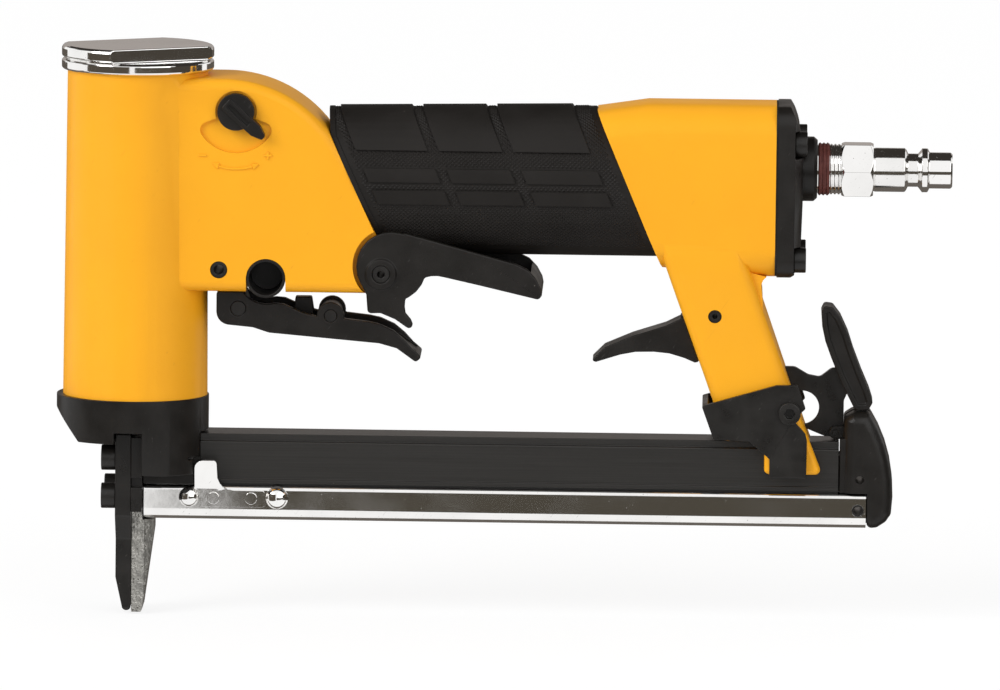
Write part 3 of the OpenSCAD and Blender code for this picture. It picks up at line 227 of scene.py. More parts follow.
def startGroup(name, inputs, outputs):
    tree = bpy.data.node_groups.new(name, "ShaderNodeTree")
    for label, value in inputs:
        socket = tree.interface.new_socket(label, in_out="INPUT", socket_type="NodeSocketFloat")
        socket.default_value = value
    for label in outputs:
        tree.interface.new_socket(label, in_out="OUTPUT", socket_type="NodeSocketFloat")
    return tree, tree.nodes.new("NodeGroupInput"), tree.nodes.new("NodeGroupOutput")


def mathNode(tree, operation, a, b=None, clamp=False):
    node = tree.nodes.new("ShaderNodeMath")
    node.operation = operation
    node.use_clamp = clamp
    for slot, value in zip(node.inputs, (a, b)):
        if value is None:
            continue
        if isinstance(value, (int, float)):
            slot.default_value = value
        else:
            tree.links.new(value, slot)
    return node.outputs[0]


def noiseNode(tree, vector, size, detail):
    noise = tree.nodes.new("ShaderNodeTexNoise")
    noise.inputs["Detail"].default_value = detail
    tree.links.new(vector, noise.inputs["Vector"])
    tree.links.new(mathNode(tree, "DIVIDE", 1 / mm, size), noise.inputs["Scale"])
    return noise.outputs["Fac"]


def stretchAlongX(tree, vector, stretch):
    parts = tree.nodes.new("ShaderNodeSeparateXYZ")
    join = tree.nodes.new("ShaderNodeCombineXYZ")
    tree.links.new(vector, parts.inputs[0])
    tree.links.new(mathNode(tree, "DIVIDE", parts.outputs[0], stretch), join.inputs[0])
    tree.links.new(parts.outputs[1], join.inputs[1])
    tree.links.new(parts.outputs[2], join.inputs[2])
    return join.outputs[0]


noiseDetail = {"grain": 3, "patch": 5, "streak": 2, "line": 2}


# moulded or sprayed grain: a fine height with a slow drift in tone and gloss
def buildGrainGroup():
    inputs = [("Grain Size", 0.4), ("Patch Size", 12.0)]
    tree, given, out = startGroup("surfaceGrain", inputs, ["Height", "Patch"])
    coords = tree.nodes.new("ShaderNodeTexCoord").outputs["Object"]
    grain = noiseNode(tree, coords, given.outputs["Grain Size"], noiseDetail["grain"])
    patch = noiseNode(tree, coords, given.outputs["Patch Size"], noiseDetail["patch"])
    tree.links.new(grain, out.inputs["Height"])
    tree.links.new(patch, out.inputs["Patch"])
    return tree


# brushed or drawn metal: thin streaks along X
def buildStreakGroup():
    tree, given, out = startGroup("drawnStreaks", [("Streak Size", 0.3), ("Stretch", 60.0)], ["Height"])
    coords = tree.nodes.new("ShaderNodeTexCoord").outputs["Object"]
    drawn = stretchAlongX(tree, coords, given.outputs["Stretch"])
    streaks = noiseNode(tree, drawn, given.outputs["Streak Size"], noiseDetail["streak"])
    tree.links.new(streaks, out.inputs["Height"])
    return tree


# specks of dust, and on the cast nose painted shade in pits: a few small round spots, each in a cell of its
# own
def buildSpeckGroup():
    inputs = [("Spacing", 2.0), ("Speck Size", 0.1), ("Share", 0.2)]
    tree, given, out = startGroup("dustSpecks", inputs, ["Mask"])
    coords = tree.nodes.new("ShaderNodeTexCoord").outputs["Object"]
    cells = tree.nodes.new("ShaderNodeTexVoronoi")
    tree.links.new(coords, cells.inputs["Vector"])
    tree.links.new(mathNode(tree, "DIVIDE", 1 / mm, given.outputs["Spacing"]), cells.inputs["Scale"])
    split = tree.nodes.new("ShaderNodeSeparateColor")
    tree.links.new(cells.outputs["Color"], split.inputs[0])
    chosen = mathNode(tree, "LESS_THAN", split.outputs[0], given.outputs["Share"])
    near = mathNode(tree, "LESS_THAN", cells.outputs["Distance"], given.outputs["Speck Size"])
    tree.links.new(mathNode(tree, "MULTIPLY", chosen, near), out.inputs["Mask"])
    return tree


# faint rubbed lines that lie across a surface
scuffTurn = (0.3, 0.9, 0.4)
scuffContrast = 14.0


def buildScuffGroup():
    inputs = [("Line Size", 0.5), ("Stretch", 30.0), ("Level", 0.68)]
    tree, given, out = startGroup("rubbedLines", inputs, ["Mask"])
    coords = tree.nodes.new("ShaderNodeTexCoord")
    turn = tree.nodes.new("ShaderNodeMapping")
    turn.inputs["Rotation"].default_value = scuffTurn
    tree.links.new(coords.outputs["Object"], turn.inputs["Vector"])
    rubbed = stretchAlongX(tree, turn.outputs[0], given.outputs["Stretch"])
    lines = noiseNode(tree, rubbed, given.outputs["Line Size"], noiseDetail["line"])
    over = mathNode(tree, "SUBTRACT", lines, given.outputs["Level"])
    tree.links.new(mathNode(tree, "MULTIPLY", over, scuffContrast, True), out.inputs["Mask"])
    return tree


grainGroup = buildGrainGroup()
streakGroup = buildStreakGroup()
speckGroup = buildSpeckGroup()
scuffGroup = buildScuffGroup()


def addGroup(tree, group, **values):
    node = tree.nodes.new("ShaderNodeGroup")
    node.node_tree = group
    for label, value in values.items():
        node.inputs[label.replace("_", " ")].default_value = value
    return node


# noise seldom leaves this range, so it is spread from there
noiseRange = (0.35, 0.68)


def spreadValue(tree, mask, low, high):
    ramp = tree.nodes.new("ShaderNodeMapRange")
    ramp.inputs["From Min"].default_value = noiseRange[0]
    ramp.inputs["From Max"].default_value = noiseRange[1]
    ramp.inputs["To Min"].default_value = low
    ramp.inputs["To Max"].default_value = high
    tree.links.new(mask, ramp.inputs["Value"])
    return ramp.outputs[0]


def blendTone(tree, factor, first, second):
    mix = tree.nodes.new("ShaderNodeMix")
    mix.data_type = "RGBA"
    tree.links.new(factor, mix.inputs["Factor"])
    for label, tone in (("A", first), ("B", second)):
        if isinstance(tone, tuple):
            mix.inputs[label].default_value = (*tone, 1)
        else:
            tree.links.new(tone, mix.inputs[label])
    return mix.outputs["Result"]


# every finish: two tones, a range of roughness, grain or streaks, then specks and rubbed lines
finishes = {
    "yellow_paint": {"base": (0.905, 0.405, 0.012), "other": (0.87, 0.378, 0.010),
                     "rough": (0.38, 0.47), "specular": 0.22,
                     "grain": 0.9, "patch": 30.0, "depth": 0.02, "coat": 0.05,
                     "speck": {"gap": 9.0, "size": 0.035, "share": 0.22, "tone": (0.42, 0.17, 0.01)},
                     "scuff": {"line": 0.7, "stretch": 40.0, "level": 0.72, "tone": (0.80, 0.34, 0.012)}},
    "black_plastic": {"base": (0.0085, 0.0073, 0.0062), "other": (0.0125, 0.0108, 0.0093),
                      "rough": (0.30, 0.42), "specular": 0.26,
                      "grain": 0.28, "patch": 9.0, "depth": 0.03,
                      "speck": {"gap": 4.5, "size": 0.03, "share": 0.2, "tone": (0.16, 0.15, 0.14)},
                      "scuff": {"line": 0.5, "stretch": 25.0, "level": 0.7, "tone": (0.035, 0.032, 0.030)}},
    "black_steel": {"base": (0.0085, 0.0075, 0.0065), "other": (0.0135, 0.0120, 0.0106),
                    "rough": (0.27, 0.40), "specular": 0.34,
                    "grain": 0.22, "patch": 6.0, "depth": 0.015,
                    "speck": {"gap": 4.0, "size": 0.03, "share": 0.16, "tone": (0.12, 0.11, 0.10)},
                    "scuff": {"line": 0.4, "stretch": 25.0, "level": 0.7, "tone": (0.05, 0.047, 0.044)}},
    "black_anodised": {"base": (0.0155, 0.0143, 0.0128), "other": (0.0215, 0.0200, 0.0182),
                       "rough": (0.30, 0.38), "specular": 0.4,
                       "grain": 0.12, "stretch": 240.0, "depth": 0.004,
                       "speck": {"gap": 6.0, "size": 0.025, "share": 0.14, "tone": (0.14, 0.13, 0.12)}},
    "chrome": {"base": (0.92, 0.91, 0.895), "other": (0.84, 0.83, 0.815),
               "rough": (0.05, 0.12), "metallic": 1.0,
               "grain": 1.6, "patch": 14.0, "depth": 0.003,
               "speck": {"gap": 1.5, "size": 0.085, "share": 0.3, "tone": (0.36, 0.35, 0.33), "dust": True},
               "scuff": {"line": 0.25, "stretch": 60.0, "level": 0.69, "tone": (0.55, 0.54, 0.52)}},
    "bare_steel": {"base": (0.50, 0.49, 0.48), "other": (0.38, 0.37, 0.36),
                   "rough": (0.2, 0.34), "metallic": 1.0,
                   "grain": 0.3, "stretch": 30.0, "depth": 0.01},
    "cast_nose": {"base": (0.44, 0.43, 0.40), "other": (0.22, 0.215, 0.20),
                  "rough": (0.26, 0.46), "metallic": 0.9,
                  "grain": 0.7, "patch": 1.7, "depth": 0.42,
                  # the dark specks of the cast nose are painted shade in its pits
                  "speck": {"gap": 1.1, "size": 0.22, "share": 0.4, "tone": (0.11, 0.105, 0.095)}},
    "aluminium": {"base": (0.60, 0.60, 0.61), "other": (0.52, 0.52, 0.53),
                  "rough": (0.24, 0.36), "metallic": 1.0,
                  "grain": 0.5, "patch": 8.0, "depth": 0.01},
    "rubber": {"base": (0.012, 0.012, 0.012), "other": (0.018, 0.018, 0.018),
               "rough": (0.6, 0.75), "specular": 0.2,
               "grain": 0.35, "patch": 6.0, "depth": 0.03},
    "grip_rubber": {"base": (0.0105, 0.0090, 0.0078), "other": (0.0145, 0.0126, 0.0112),
                    "rough": (0.5, 0.62), "specular": 0.17,
                    "grain": 0.3, "patch": 14.0, "depth": 0.03,
                    "speck": {"gap": 4.0, "size": 0.03, "share": 0.2, "tone": (0.15, 0.13, 0.125)}},
    "brass": {"base": (0.60, 0.41, 0.15), "other": (0.47, 0.31, 0.11),
              "rough": (0.22, 0.34), "metallic": 1.0,
              "grain": 0.5, "patch": 3.0, "depth": 0.01},
    "thread_seal": {"base": (0.135, 0.034, 0.026), "other": (0.085, 0.022, 0.018),
                    "rough": (0.4, 0.7), "specular": 0.35,
                    "grain": 0.8, "patch": 1.6, "depth": 0.12,
                    "speck": {"gap": 1.6, "size": 0.06, "share": 0.25, "tone": (0.4, 0.22, 0.18)}},
}
coatRoughness = 0.15


def buildFinish(name, f):
    mat = bpy.data.materials.new(name)
    mat.use_nodes = True
    tree = mat.node_tree
    shader = tree.nodes["Principled BSDF"]
    shader.inputs["Metallic"].default_value = f.get("metallic", 0.0)
    shader.inputs["Specular IOR Level"].default_value = f.get("specular", 0.5)
    shader.inputs["Coat Weight"].default_value = f.get("coat", 0.0)
    shader.inputs["Coat Roughness"].default_value = coatRoughness
    if "stretch" in f:
        group = addGroup(tree, streakGroup, Streak_Size=f["grain"], Stretch=f["stretch"])
        mask = group.outputs["Height"]
    else:
        group = addGroup(tree, grainGroup, Grain_Size=f["grain"], Patch_Size=f["patch"])
        mask = group.outputs["Patch"]
    tone = blendTone(tree, spreadValue(tree, mask, 0, 1), f["base"], f["other"])
    if "scuff" in f:
        c = f["scuff"]
        lines = addGroup(tree, scuffGroup, Line_Size=c["line"], Stretch=c["stretch"], Level=c["level"])
        tone = blendTone(tree, lines.outputs["Mask"], tone, c["tone"])
    if "speck" in f:
        c = f["speck"]
        specks = addGroup(tree, speckGroup, Spacing=c["gap"], Speck_Size=c["size"], Share=c["share"])
        tone = blendTone(tree, specks.outputs["Mask"], tone, c["tone"])
        if "dust" in c:
            clean = mathNode(tree, "SUBTRACT", 1.0, specks.outputs["Mask"])
            tree.links.new(clean, shader.inputs["Metallic"])
    tree.links.new(tone, shader.inputs["Base Color"])
    tree.links.new(spreadValue(tree, mask, *f["rough"]), shader.inputs["Roughness"])
    bump = tree.nodes.new("ShaderNodeBump")
    bump.inputs["Distance"].default_value = f["depth"] * mm
    tree.links.new(group.outputs["Height"], bump.inputs["Height"])
    tree.links.new(bump.outputs[0], shader.inputs["Normal"])
    return mat


materials = {name: buildFinish(name, f) for name, f in finishes.items()}
slotOf = {s["node"]: s["material_slot"] for s in frame["record"]["subparts"]}
print("materials built:", len(materials))

# every visible piece gets a copy of its solid with eased edges; the sealed ones keep the solid
easing = {
    "housing": 0.3, "cylinder_cap": 0.25, "nose_collar": 0.4, "nose_front_plate": 0.25,
    "nose_spacer": 0.15, "nose_guide": 0.2, "nose_screws": 0.25, "trigger": 0.35,
    "trigger_hanger": 0.25, "cross_sleeve": 0.25, "safety_lever": 0.45, "safety_lever_pin": 0.2,
    "regulator_knob": 0.3, "grip_sleeve": 0.2, "rear_cover": 0.45, "cover_screws": 0.3,
    "air_plug": 0.08, "thread_seal": 0.2, "finger_rest": 0.35, "magazine_body": 0.2,
    "magazine_bracket": 0.25, "bracket_bolt": 0.25, "bracket_nut": 0.2, "magazine_slide": 0.1,
    "guide_plates": 0.1, "guide_rivets": 0.12, "end_cap": 0.4, "latch_plate": 0.15, "thumb_lever": 0.35,
    "hanger_pin": 0.2, "finger_rest_pin": 0.15, "end_cap_pin": 0.15, "trigger_pin": 0.2,
    "trigger_cross_pin": 0.2,
}
edgeAngle = math.radians(40)
smoothAngle = math.radians(35)
flatAngle = math.radians(0.6)
mergeReach = 5e-6

# turned and polished pieces are shaded as true turned surfaces round their axis
plugAxisZ = 0.1226
turned = {
    "air_plug": {"through": (0.0, 0.0, plugAxisZ), "axis": (1.0, 0.0, 0.0)},
    "cylinder_cap": {"through": (0.0, 0.0, 0.0), "axis": (0.0, 0.0, 1.0)},
}
facetAngle = math.radians(9)
leastFlat = 0.05
axisReach = 1e-6


def polishTurned(piece, through, axis):
    ready = piece.evaluated_get(bpy.context.evaluated_depsgraph_get())
    mesh = bpy.data.meshes.new_from_object(ready)
    mesh.name = piece.data.name
    piece.modifiers.clear()
    piece.data = mesh
    through = Vector(through)
    axis = Vector(axis)
    normals = [None] * len(mesh.loops)
    for face in mesh.polygons:
        slope = face.normal.dot(axis)
        flat = face.normal - axis * slope
        rays = []
        for corner in face.loop_indices:
            spot = mesh.vertices[mesh.loops[corner].vertex_index].co - through
            rays.append(spot - axis * spot.dot(axis))
        level = flat.length < leastFlat or any(ray.length < axisReach for ray in rays)
        level = level or any(ray.angle(flat) > facetAngle for ray in rays)
        for corner, ray in zip(face.loop_indices, rays):
            turnedNormal = face.normal if level else ray.normalized() * flat.length + axis * slope
            normals[corner] = turnedNormal.copy()
    mesh.normals_split_custom_set(normals)


# a bevel held from overlapping stops at the shortest facet, so it runs free: narrower where it would leave
# the solid, and held only when no width stays on it
easeTries = ((1.0, False), (0.7, False), (0.5, False), (0.35, False), (0.2, False), (1.0, True))
easeSlack = 0.6
easeSegments = 3
roundProfile = 0.5
sliver = 2e-6
heldSliver = 1e-7


def bevelEdges(solid, width, held):
    form = solid.copy()
    shared = [edge for edge in form.edges if len(edge.link_faces) == 2]
    sharp = [edge for edge in shared if edge.calc_face_angle(0) > edgeAngle]
    bmesh.ops.bevel(form, geom=sharp, offset=width, offset_type="OFFSET", segments=easeSegments,
                    profile=roundProfile, affect="EDGES", clamp_overlap=held)
    return form


# vertices that leave the solid are put back on it, then the triangles that still leave it are counted
def countStrays(form, surface, width):
    for vert in form.verts:
        spot, _, _, gap = surface.find_nearest(vert.co)
        if gap > easeSlack * width:
            vert.co = spot
    strays = 0
    for corners in form.calc_loop_triangles():
        a, b, c = (corner.vert.co for corner in corners)
        spots = ((a + b + c) / 3, (a + b) / 2, (b + c) / 2, (c + a) / 2)
        strays += any(surface.find_nearest(spot)[3] > easeSlack * width for spot in spots)
    return strays


# slivers are merged only where the mesh stays closed
def mergeSlivers(form, reach):
    merged = form.copy()
    bmesh.ops.remove_doubles(merged, verts=merged.verts, dist=reach)
    closed = all(edge.is_manifold for edge in merged.edges)
    spare = form if closed else merged
    spare.free()
    return merged if closed else form


def easeEdges(solid, width):
    surface = BVHTree.FromBMesh(solid)
    for share, held in easeTries:
        form = bevelEdges(solid, width * share, held)
        strays = countStrays(form, surface, width * share)
        if held or strays == 0:
            break
        form.free()
    return mergeSlivers(form, heldSliver if held else sliver), share, held


def easedCopy(node, width):
    mesh = nodeOf[node].data.copy()
    mesh.name = node + "Eased"
    form = bmesh.new()
    form.from_mesh(mesh)
    bmesh.ops.remove_doubles(form, verts=form.verts, dist=mergeReach)
    bmesh.ops.dissolve_limit(form, angle_limit=flatAngle, verts=form.verts, edges=form.edges)
    eased, share, held = easeEdges(form, width * mm)
    print(node, "eased by", round(width * share, 3), "mm", "held back" if held else "")
    eased.to_mesh(mesh)
    eased.free()
    form.free()
    mesh.materials.clear()
    mesh.materials.append(materials[slotOf[node]])
    piece = bpy.data.objects.new(node + "Eased", mesh)
    bpy.context.collection.objects.link(piece)
    mesh.shade_smooth()
    mesh.set_sharp_from_angle(angle=smoothAngle)
    level = piece.modifiers.new("level", "WEIGHTED_NORMAL")
    level.keep_sharp = True
    if node in turned:
        polishTurned(piece, **turned[node])
    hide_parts(node)
    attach(piece, bodyOf[node])


for node, obj in nodeOf.items():
    if node in easing:
        easedCopy(node, easing[node])
    else:
        obj.data.materials.clear()
        obj.data.materials.append(materials[slotOf[node]])
print("pieces eased:", len(easing))


# each sealed spring is shown as a copy of its coil that rides with its body
def fitSpring(node):
    mesh = nodeOf[node].data.copy()
    mesh.name = node + "Coil"
    coil = bpy.data.objects.new(node + "Coil", mesh)
    bpy.context.collection.objects.link(coil)
    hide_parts(node)
    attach(coil, bodyOf[node])
    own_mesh(coil)


for joint in frame["record"]["behaviour"]["joints"]:
    for spring in joint.get("deforming_nodes", []):
        fitSpring(spring["node"])


# what repeats is grown with geometry nodes
def startTree(name, inputs):
    tree = bpy.data.node_groups.new(name, "GeometryNodeTree")
    kinds = {"number": "NodeSocketFloat", "count": "NodeSocketInt", "object": "NodeSocketObject",
             "material": "NodeSocketMaterial"}
    for label, kind in inputs:
        tree.interface.new_socket(label, in_out="INPUT", socket_type=kinds[kind])
    tree.interface.new_socket("Geometry", in_out="OUTPUT", socket_type="NodeSocketGeometry")
    return tree, tree.nodes.new("NodeGroupInput"), tree.nodes.new("NodeGroupOutput")


def addNode(tree, kind, links=None, **settings):
    node = tree.nodes.new(kind)
    for label, value in settings.items():
        setattr(node, label, value)
    for label, value in (links or {}).items():
        if hasattr(value, "is_output"):
            tree.links.new(value, node.inputs[label])
        else:
            node.inputs[label].default_value = value
    return node


def joinVector(tree, x, y, z):
    return addNode(tree, "ShaderNodeCombineXYZ", {"X": x, "Y": y, "Z": z}).outputs[0]


def splitVector(tree, vector):
    return addNode(tree, "ShaderNodeSeparateXYZ", {"Vector": vector}).outputs


def numberInputs(settings):
    return [(label, "count" if isinstance(value, int) else "number") for label, value in settings.items()]


def paintOut(tree, out, instances, material):
    solid = addNode(tree, "GeometryNodeRealizeInstances", {"Geometry": instances})
    paint = addNode(tree, "GeometryNodeSetMaterial", {"Geometry": solid.outputs[0], "Material": material})
    tree.links.new(paint.outputs[0], out.inputs[0])


def growPiece(name, tree, values, body):
    mesh = bpy.data.meshes.new(name)
    carrier = bpy.data.objects.new(name + "Grower", mesh)
    bpy.context.collection.objects.link(carrier)
    grow = carrier.modifiers.new("grow", "NODES")
    grow.node_group = tree
    for item in tree.interface.items_tree:
        if item.in_out == "INPUT":
            grow[item.identifier] = values[item.name]
    bpy.context.view_layer.update()
    ready = carrier.evaluated_get(bpy.context.evaluated_depsgraph_get())
    plain = bpy.data.meshes.new_from_object(ready)
    plain.name = name
    bpy.data.objects.remove(carrier)
    piece = bpy.data.objects.new(name, plain)
    bpy.context.collection.objects.link(piece)
    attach(piece, body)
    print(name, "grown with", len(plain.polygons), "faces")
    return piece


# grip texture: small diamonds on the bare rubber between the smooth pads
gripTexture = {
    "Pitch": 0.0012,
    "Stud Height": 0.00022,
    "Columns": 84,
    "Rows": 220,
    "Start X": 0.054,
    "Half Width": 0.015,
    "Half Height": 0.0201,
    "Middle Z": 0.1184,
    "Base Z": 0.0983,
    "Lean": math.tan(math.radians(23)),
    "Front Lean": math.tan(math.radians(25)),
    "Front S": 0.0712,
    "Rear S": 0.1395,
    "Low Z": 0.1018,
    "First Start": 0.07197,
    "First End": 0.09140,
    "Middle Start": 0.09442,
    "Middle End": 0.11157,
    "Last Start": 0.11459,
    "Last End": 0.13520,
    "Panel Z": 0.1275,
    "Bar Z": 0.1130,
    "Bar Pitch": 0.006,
    "Bar Height": 0.0038,
    "Margin": 0.0005,
}


studSides = 4
studShare = 0.47
barRows = 2.0
ringScale = 2.0
rayReach = 0.03


def wrapSheet(tree, g, calc, place):
    x, y, _ = splitVector(tree, place)
    sheet = addNode(tree, "GeometryNodeMeshGrid", {"Vertices X": g["Columns"], "Vertices Y": g["Rows"],
                                                   "Size X": 1.0, "Size Y": 1.0})
    odd = calc("MODULO", addNode(tree, "GeometryNodeInputIndex").outputs[0], 2.0)
    column = calc("MULTIPLY", calc("ADD", x, 0.5), calc("SUBTRACT", g["Columns"], 1.0))
    shifted = calc("ADD", column, calc("MULTIPLY", odd, 0.5))
    along = calc("ADD", g["Start X"], calc("MULTIPLY", g["Pitch"], shifted))
    angle = calc("MULTIPLY", y, 2 * math.pi)
    across = calc("MULTIPLY", calc("MULTIPLY", g["Half Width"], calc("SINE", angle)), ringScale)
    upward = calc("MULTIPLY", calc("MULTIPLY", g["Half Height"], calc("COSINE", angle)), ringScale)
    ring = joinVector(tree, along, across, calc("ADD", g["Middle Z"], upward))
    wrapped = addNode(tree, "GeometryNodeSetPosition", {"Geometry": sheet.outputs["Mesh"], "Position": ring})
    return wrapped.outputs[0]


def dropOnGrip(tree, g, place, wrapped, grip):
    middle = joinVector(tree, splitVector(tree, place)[0], 0.0, g["Middle Z"])
    inward = addNode(tree, "ShaderNodeVectorMath", {0: middle, 1: place}, operation="SUBTRACT")
    ray = addNode(tree, "GeometryNodeRaycast", {"Target Geometry": grip, "Source Position": place,
                                                "Ray Direction": inward.outputs[0], "Ray Length": rayReach})
    missed = addNode(tree, "FunctionNodeBooleanMath", {0: ray.outputs["Is Hit"]}, operation="NOT").outputs[0]
    kept = addNode(tree, "GeometryNodeDeleteGeometry", {"Geometry": wrapped, "Selection": missed},
                   domain="POINT")
    landed = addNode(tree, "GeometryNodeSetPosition", {"Geometry": kept.outputs[0],
                                                       "Position": ray.outputs["Hit Position"]})
    return landed.outputs[0]


# bare rubber is what is left between the pads and bars, inside the border
def findBare(tree, g, calc, place):
    x, _, z = splitVector(tree, place)
    height = calc("SUBTRACT", z, g["Base Z"])
    slanted = calc("ADD", x, calc("MULTIPLY", height, g["Lean"]))
    front = calc("ADD", x, calc("MULTIPLY", height, g["Front Lean"]))
    overPad = 0.0
    for name in ("First", "Middle", "Last"):
        begun = calc("GREATER_THAN", slanted, calc("SUBTRACT", g[name + " Start"], g["Margin"]))
        ended = calc("LESS_THAN", slanted, calc("ADD", g[name + " End"], g["Margin"]))
        overPad = calc("ADD", overPad, calc("MULTIPLY", begun, ended))
    highUp = calc("GREATER_THAN", z, calc("SUBTRACT", g["Panel Z"], g["Margin"]))
    overPanel = calc("MULTIPLY", overPad, highUp)
    rise = calc("ADD", calc("SUBTRACT", z, g["Bar Z"]), g["Margin"])
    barStep = calc("FLOORED_MODULO", rise, g["Bar Pitch"])
    overBar = calc("LESS_THAN", barStep, calc("ADD", g["Bar Height"], calc("MULTIPLY", g["Margin"], 2.0)))
    rowsTop = calc("MULTIPLY", g["Bar Pitch"], barRows)
    inRows = calc("MULTIPLY", calc("GREATER_THAN", rise, 0.0), calc("LESS_THAN", rise, rowsTop))
    overBars = calc("MULTIPLY", calc("MULTIPLY", overBar, inRows), overPad)
    bare = calc("LESS_THAN", calc("ADD", overPanel, overBars), 0.5)
    behind = calc("GREATER_THAN", front, g["Front S"])
    inside = calc("MULTIPLY", behind, calc("LESS_THAN", slanted, g["Rear S"]))
    inside = calc("MULTIPLY", inside, calc("GREATER_THAN", z, g["Low Z"]))
    return calc("MULTIPLY", bare, inside)


def buildGripTree():
    inputs = numberInputs(gripTexture) + [("Grip", "object"), ("Material", "material")]
    tree, given, out = startTree("gripTexture", inputs)
    g = given.outputs

    def calc(operation, a, b=None):
        return mathNode(tree, operation, a, b)

    place = addNode(tree, "GeometryNodeInputPosition").outputs[0]
    grip = addNode(tree, "GeometryNodeObjectInfo", {"Object": g["Grip"]}).outputs["Geometry"]
    wrapped = wrapSheet(tree, g, calc, place)
    landed = dropOnGrip(tree, g, place, wrapped, grip)
    dots = addNode(tree, "GeometryNodeMeshToPoints", {"Mesh": landed})
    radius = calc("MULTIPLY", g["Pitch"], studShare)
    shape = {"Vertices": studSides, "Radius Top": 0.0, "Radius Bottom": radius, "Depth": g["Stud Height"]}
    stud = addNode(tree, "GeometryNodeMeshCone", shape, fill_type="NGON")
    facing = addNode(tree, "GeometryNodeInputNormal").outputs[0]
    normal = addNode(tree, "GeometryNodeSampleNearestSurface", {"Mesh": grip, "Value": facing},
                     data_type="FLOAT_VECTOR")
    aim = addNode(tree, "FunctionNodeAlignRotationToVector", {"Vector": normal.outputs["Value"]}, axis="Z")
    chosen = findBare(tree, g, calc, place)
    studs = addNode(tree, "GeometryNodeInstanceOnPoints", {"Points": dots.outputs[0], "Selection": chosen,
                                                           "Instance": stud.outputs["Mesh"],
                                                           "Rotation": aim.outputs[0]})
    paintOut(tree, out, studs.outputs[0], g["Material"])
    return tree


gripValues = {**gripTexture, "Grip": nodeOf["grip_sleeve"], "Material": materials["grip_rubber"]}
growPiece("gripStuds", buildGripTree(), gripValues, bodyOf["grip_sleeve"])

# thread ridges of the air plug, bare at its root and under the sealant
plugThread = {"Radius": 0.00652, "Ridge": 0.00034, "Pitch": 0.00104, "Turns": 3, "Start X": 0.18786,
              "Axis Z": plugAxisZ}
sealThread = {**plugThread, "Radius": 0.00688, "Ridge": 0.00030, "Start X": 0.18474}
loopSteps = 96
ridgeSteps = 8


def buildThreadTree():
    tree, given, out = startTree("threadRidges", numberInputs(plugThread) + [("Material", "material")])
    g = given.outputs
    circle = "GeometryNodeCurvePrimitiveCircle"
    loop = addNode(tree, circle, {"Resolution": loopSteps, "Radius": g["Radius"]})
    edge = addNode(tree, circle, {"Resolution": ridgeSteps, "Radius": g["Ridge"]})
    ridge = addNode(tree, "GeometryNodeCurveToMesh", {"Curve": loop.outputs["Curve"],
                                                      "Profile Curve": edge.outputs["Curve"]})
    start = joinVector(tree, g["Start X"], 0.0, g["Axis Z"])
    offset = joinVector(tree, g["Pitch"], 0.0, 0.0)
    row = addNode(tree, "GeometryNodeMeshLine", {"Count": g["Turns"], "Start Location": start,
                                                 "Offset": offset})
    rings = addNode(tree, "GeometryNodeInstanceOnPoints", {"Points": row.outputs[0],
                                                           "Instance": ridge.outputs[0],
                                                           "Rotation": (0.0, math.pi / 2, 0.0)})
    paintOut(tree, out, rings.outputs[0], g["Material"])
    return tree


threadTree = buildThreadTree()
threads = (("plugRidges", plugThread, "chrome", "air_plug"),
           ("sealRidges", sealThread, "thread_seal", "thread_seal"))
for name, values, slot, node in threads:
    piece = growPiece(name, threadTree, {**values, "Material": materials[slot]}, bodyOf[node])
    piece.data.shade_smooth()

# raised signs by the knob: less, more and the way it turns
signs = {"faceY": -15.0, "rise": 0.4, "sink": 0.2, "ease": 0.22, "segments": 2,
         "stroke": 0.62, "reach": 1.15, "minus": (18.3, 125.6), "plus": (35.9, 125.8),
         "knob": (27.2, 137.6), "arcRadius": 15.5, "arcHalf": 17,
         "headLength": 2.0, "headHalf": 1.0, "steps": 24}


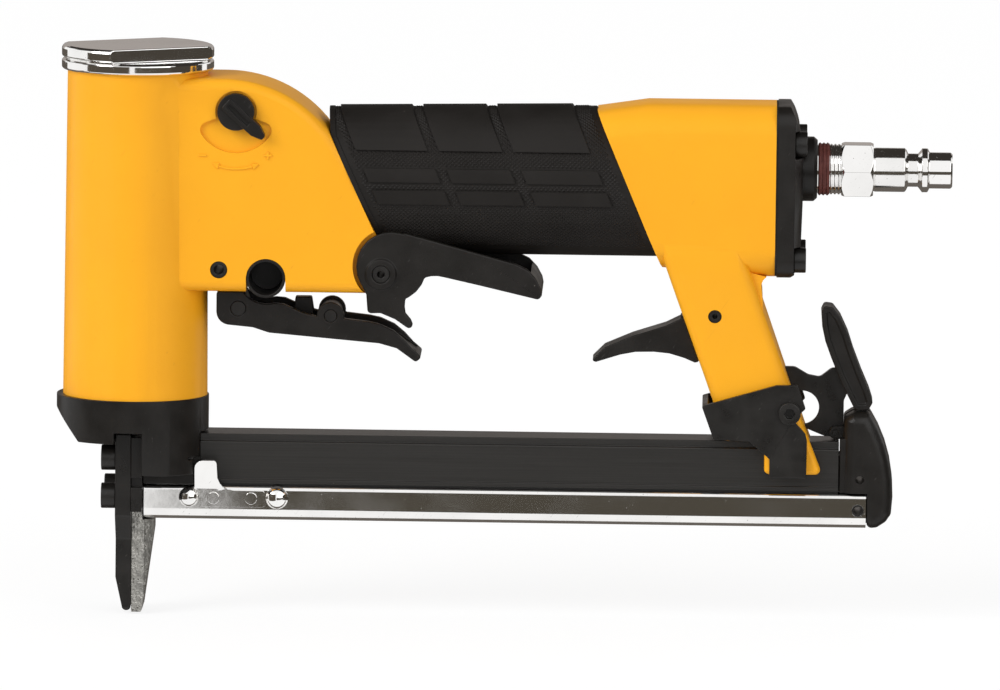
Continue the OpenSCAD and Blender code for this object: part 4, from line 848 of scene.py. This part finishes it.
def addPlate(form, outline, s):
    near = s["faceY"] - s["rise"]
    far = s["faceY"] + s["sink"]
    front = [form.verts.new((x * mm, near * mm, z * mm)) for x, z in outline]
    back = [form.verts.new((x * mm, far * mm, z * mm)) for x, z in outline]
    form.faces.new(front)
    form.faces.new(back[::-1])
    for i in range(len(outline)):
        j = (i + 1) % len(outline)
        form.faces.new((front[j], front[i], back[i], back[j]))


def buildSigns(s):
    form = bmesh.new()
    half = s["reach"]
    w = s["stroke"] / 2
    x, z = s["minus"]
    addPlate(form, [(x - half, z - w), (x + half, z - w), (x + half, z + w), (x - half, z + w)], s)
    x, z = s["plus"]
    arm = [(-half, -w), (-w, -w), (-w, -half)]
    cross = []
    for quarter in range(4):
        cross += arm
        arm = [(-b, a) for a, b in arm]
    addPlate(form, [(x + a, z + b) for a, b in cross], s)

    def spot(radius, degrees):
        turn = math.radians(degrees)
        return s["knob"][0] + radius * math.sin(turn), s["knob"][1] - radius * math.cos(turn)

    angles = [s["arcHalf"] * (2 * i / s["steps"] - 1) for i in range(s["steps"] + 1)]
    outer = [spot(s["arcRadius"] + w, a) for a in angles]
    inner = [spot(s["arcRadius"] - w, a) for a in reversed(angles)]
    addPlate(form, outer + inner, s)
    tip = s["arcHalf"] + math.degrees(s["headLength"] / s["arcRadius"])
    for way in (-1, 1):
        ends = [spot(s["arcRadius"] + s["headHalf"], way * s["arcHalf"]), spot(s["arcRadius"], way * tip),
                spot(s["arcRadius"] - s["headHalf"], way * s["arcHalf"])]
        addPlate(form, ends if way == 1 else ends[::-1], s)
    bmesh.ops.recalc_face_normals(form, faces=form.faces)
    mesh = bpy.data.meshes.new("knobSigns")
    form.to_mesh(mesh)
    form.free()
    mesh.materials.append(materials["yellow_paint"])
    piece = bpy.data.objects.new("knobSigns", mesh)
    bpy.context.collection.objects.link(piece)
    ease = piece.modifiers.new("ease", "BEVEL")
    ease.width = s["ease"] * mm
    ease.segments = s["segments"]
    ease.limit_method = "ANGLE"
    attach(piece, bodyOf["housing"])


buildSigns(signs)
print("signs raised")
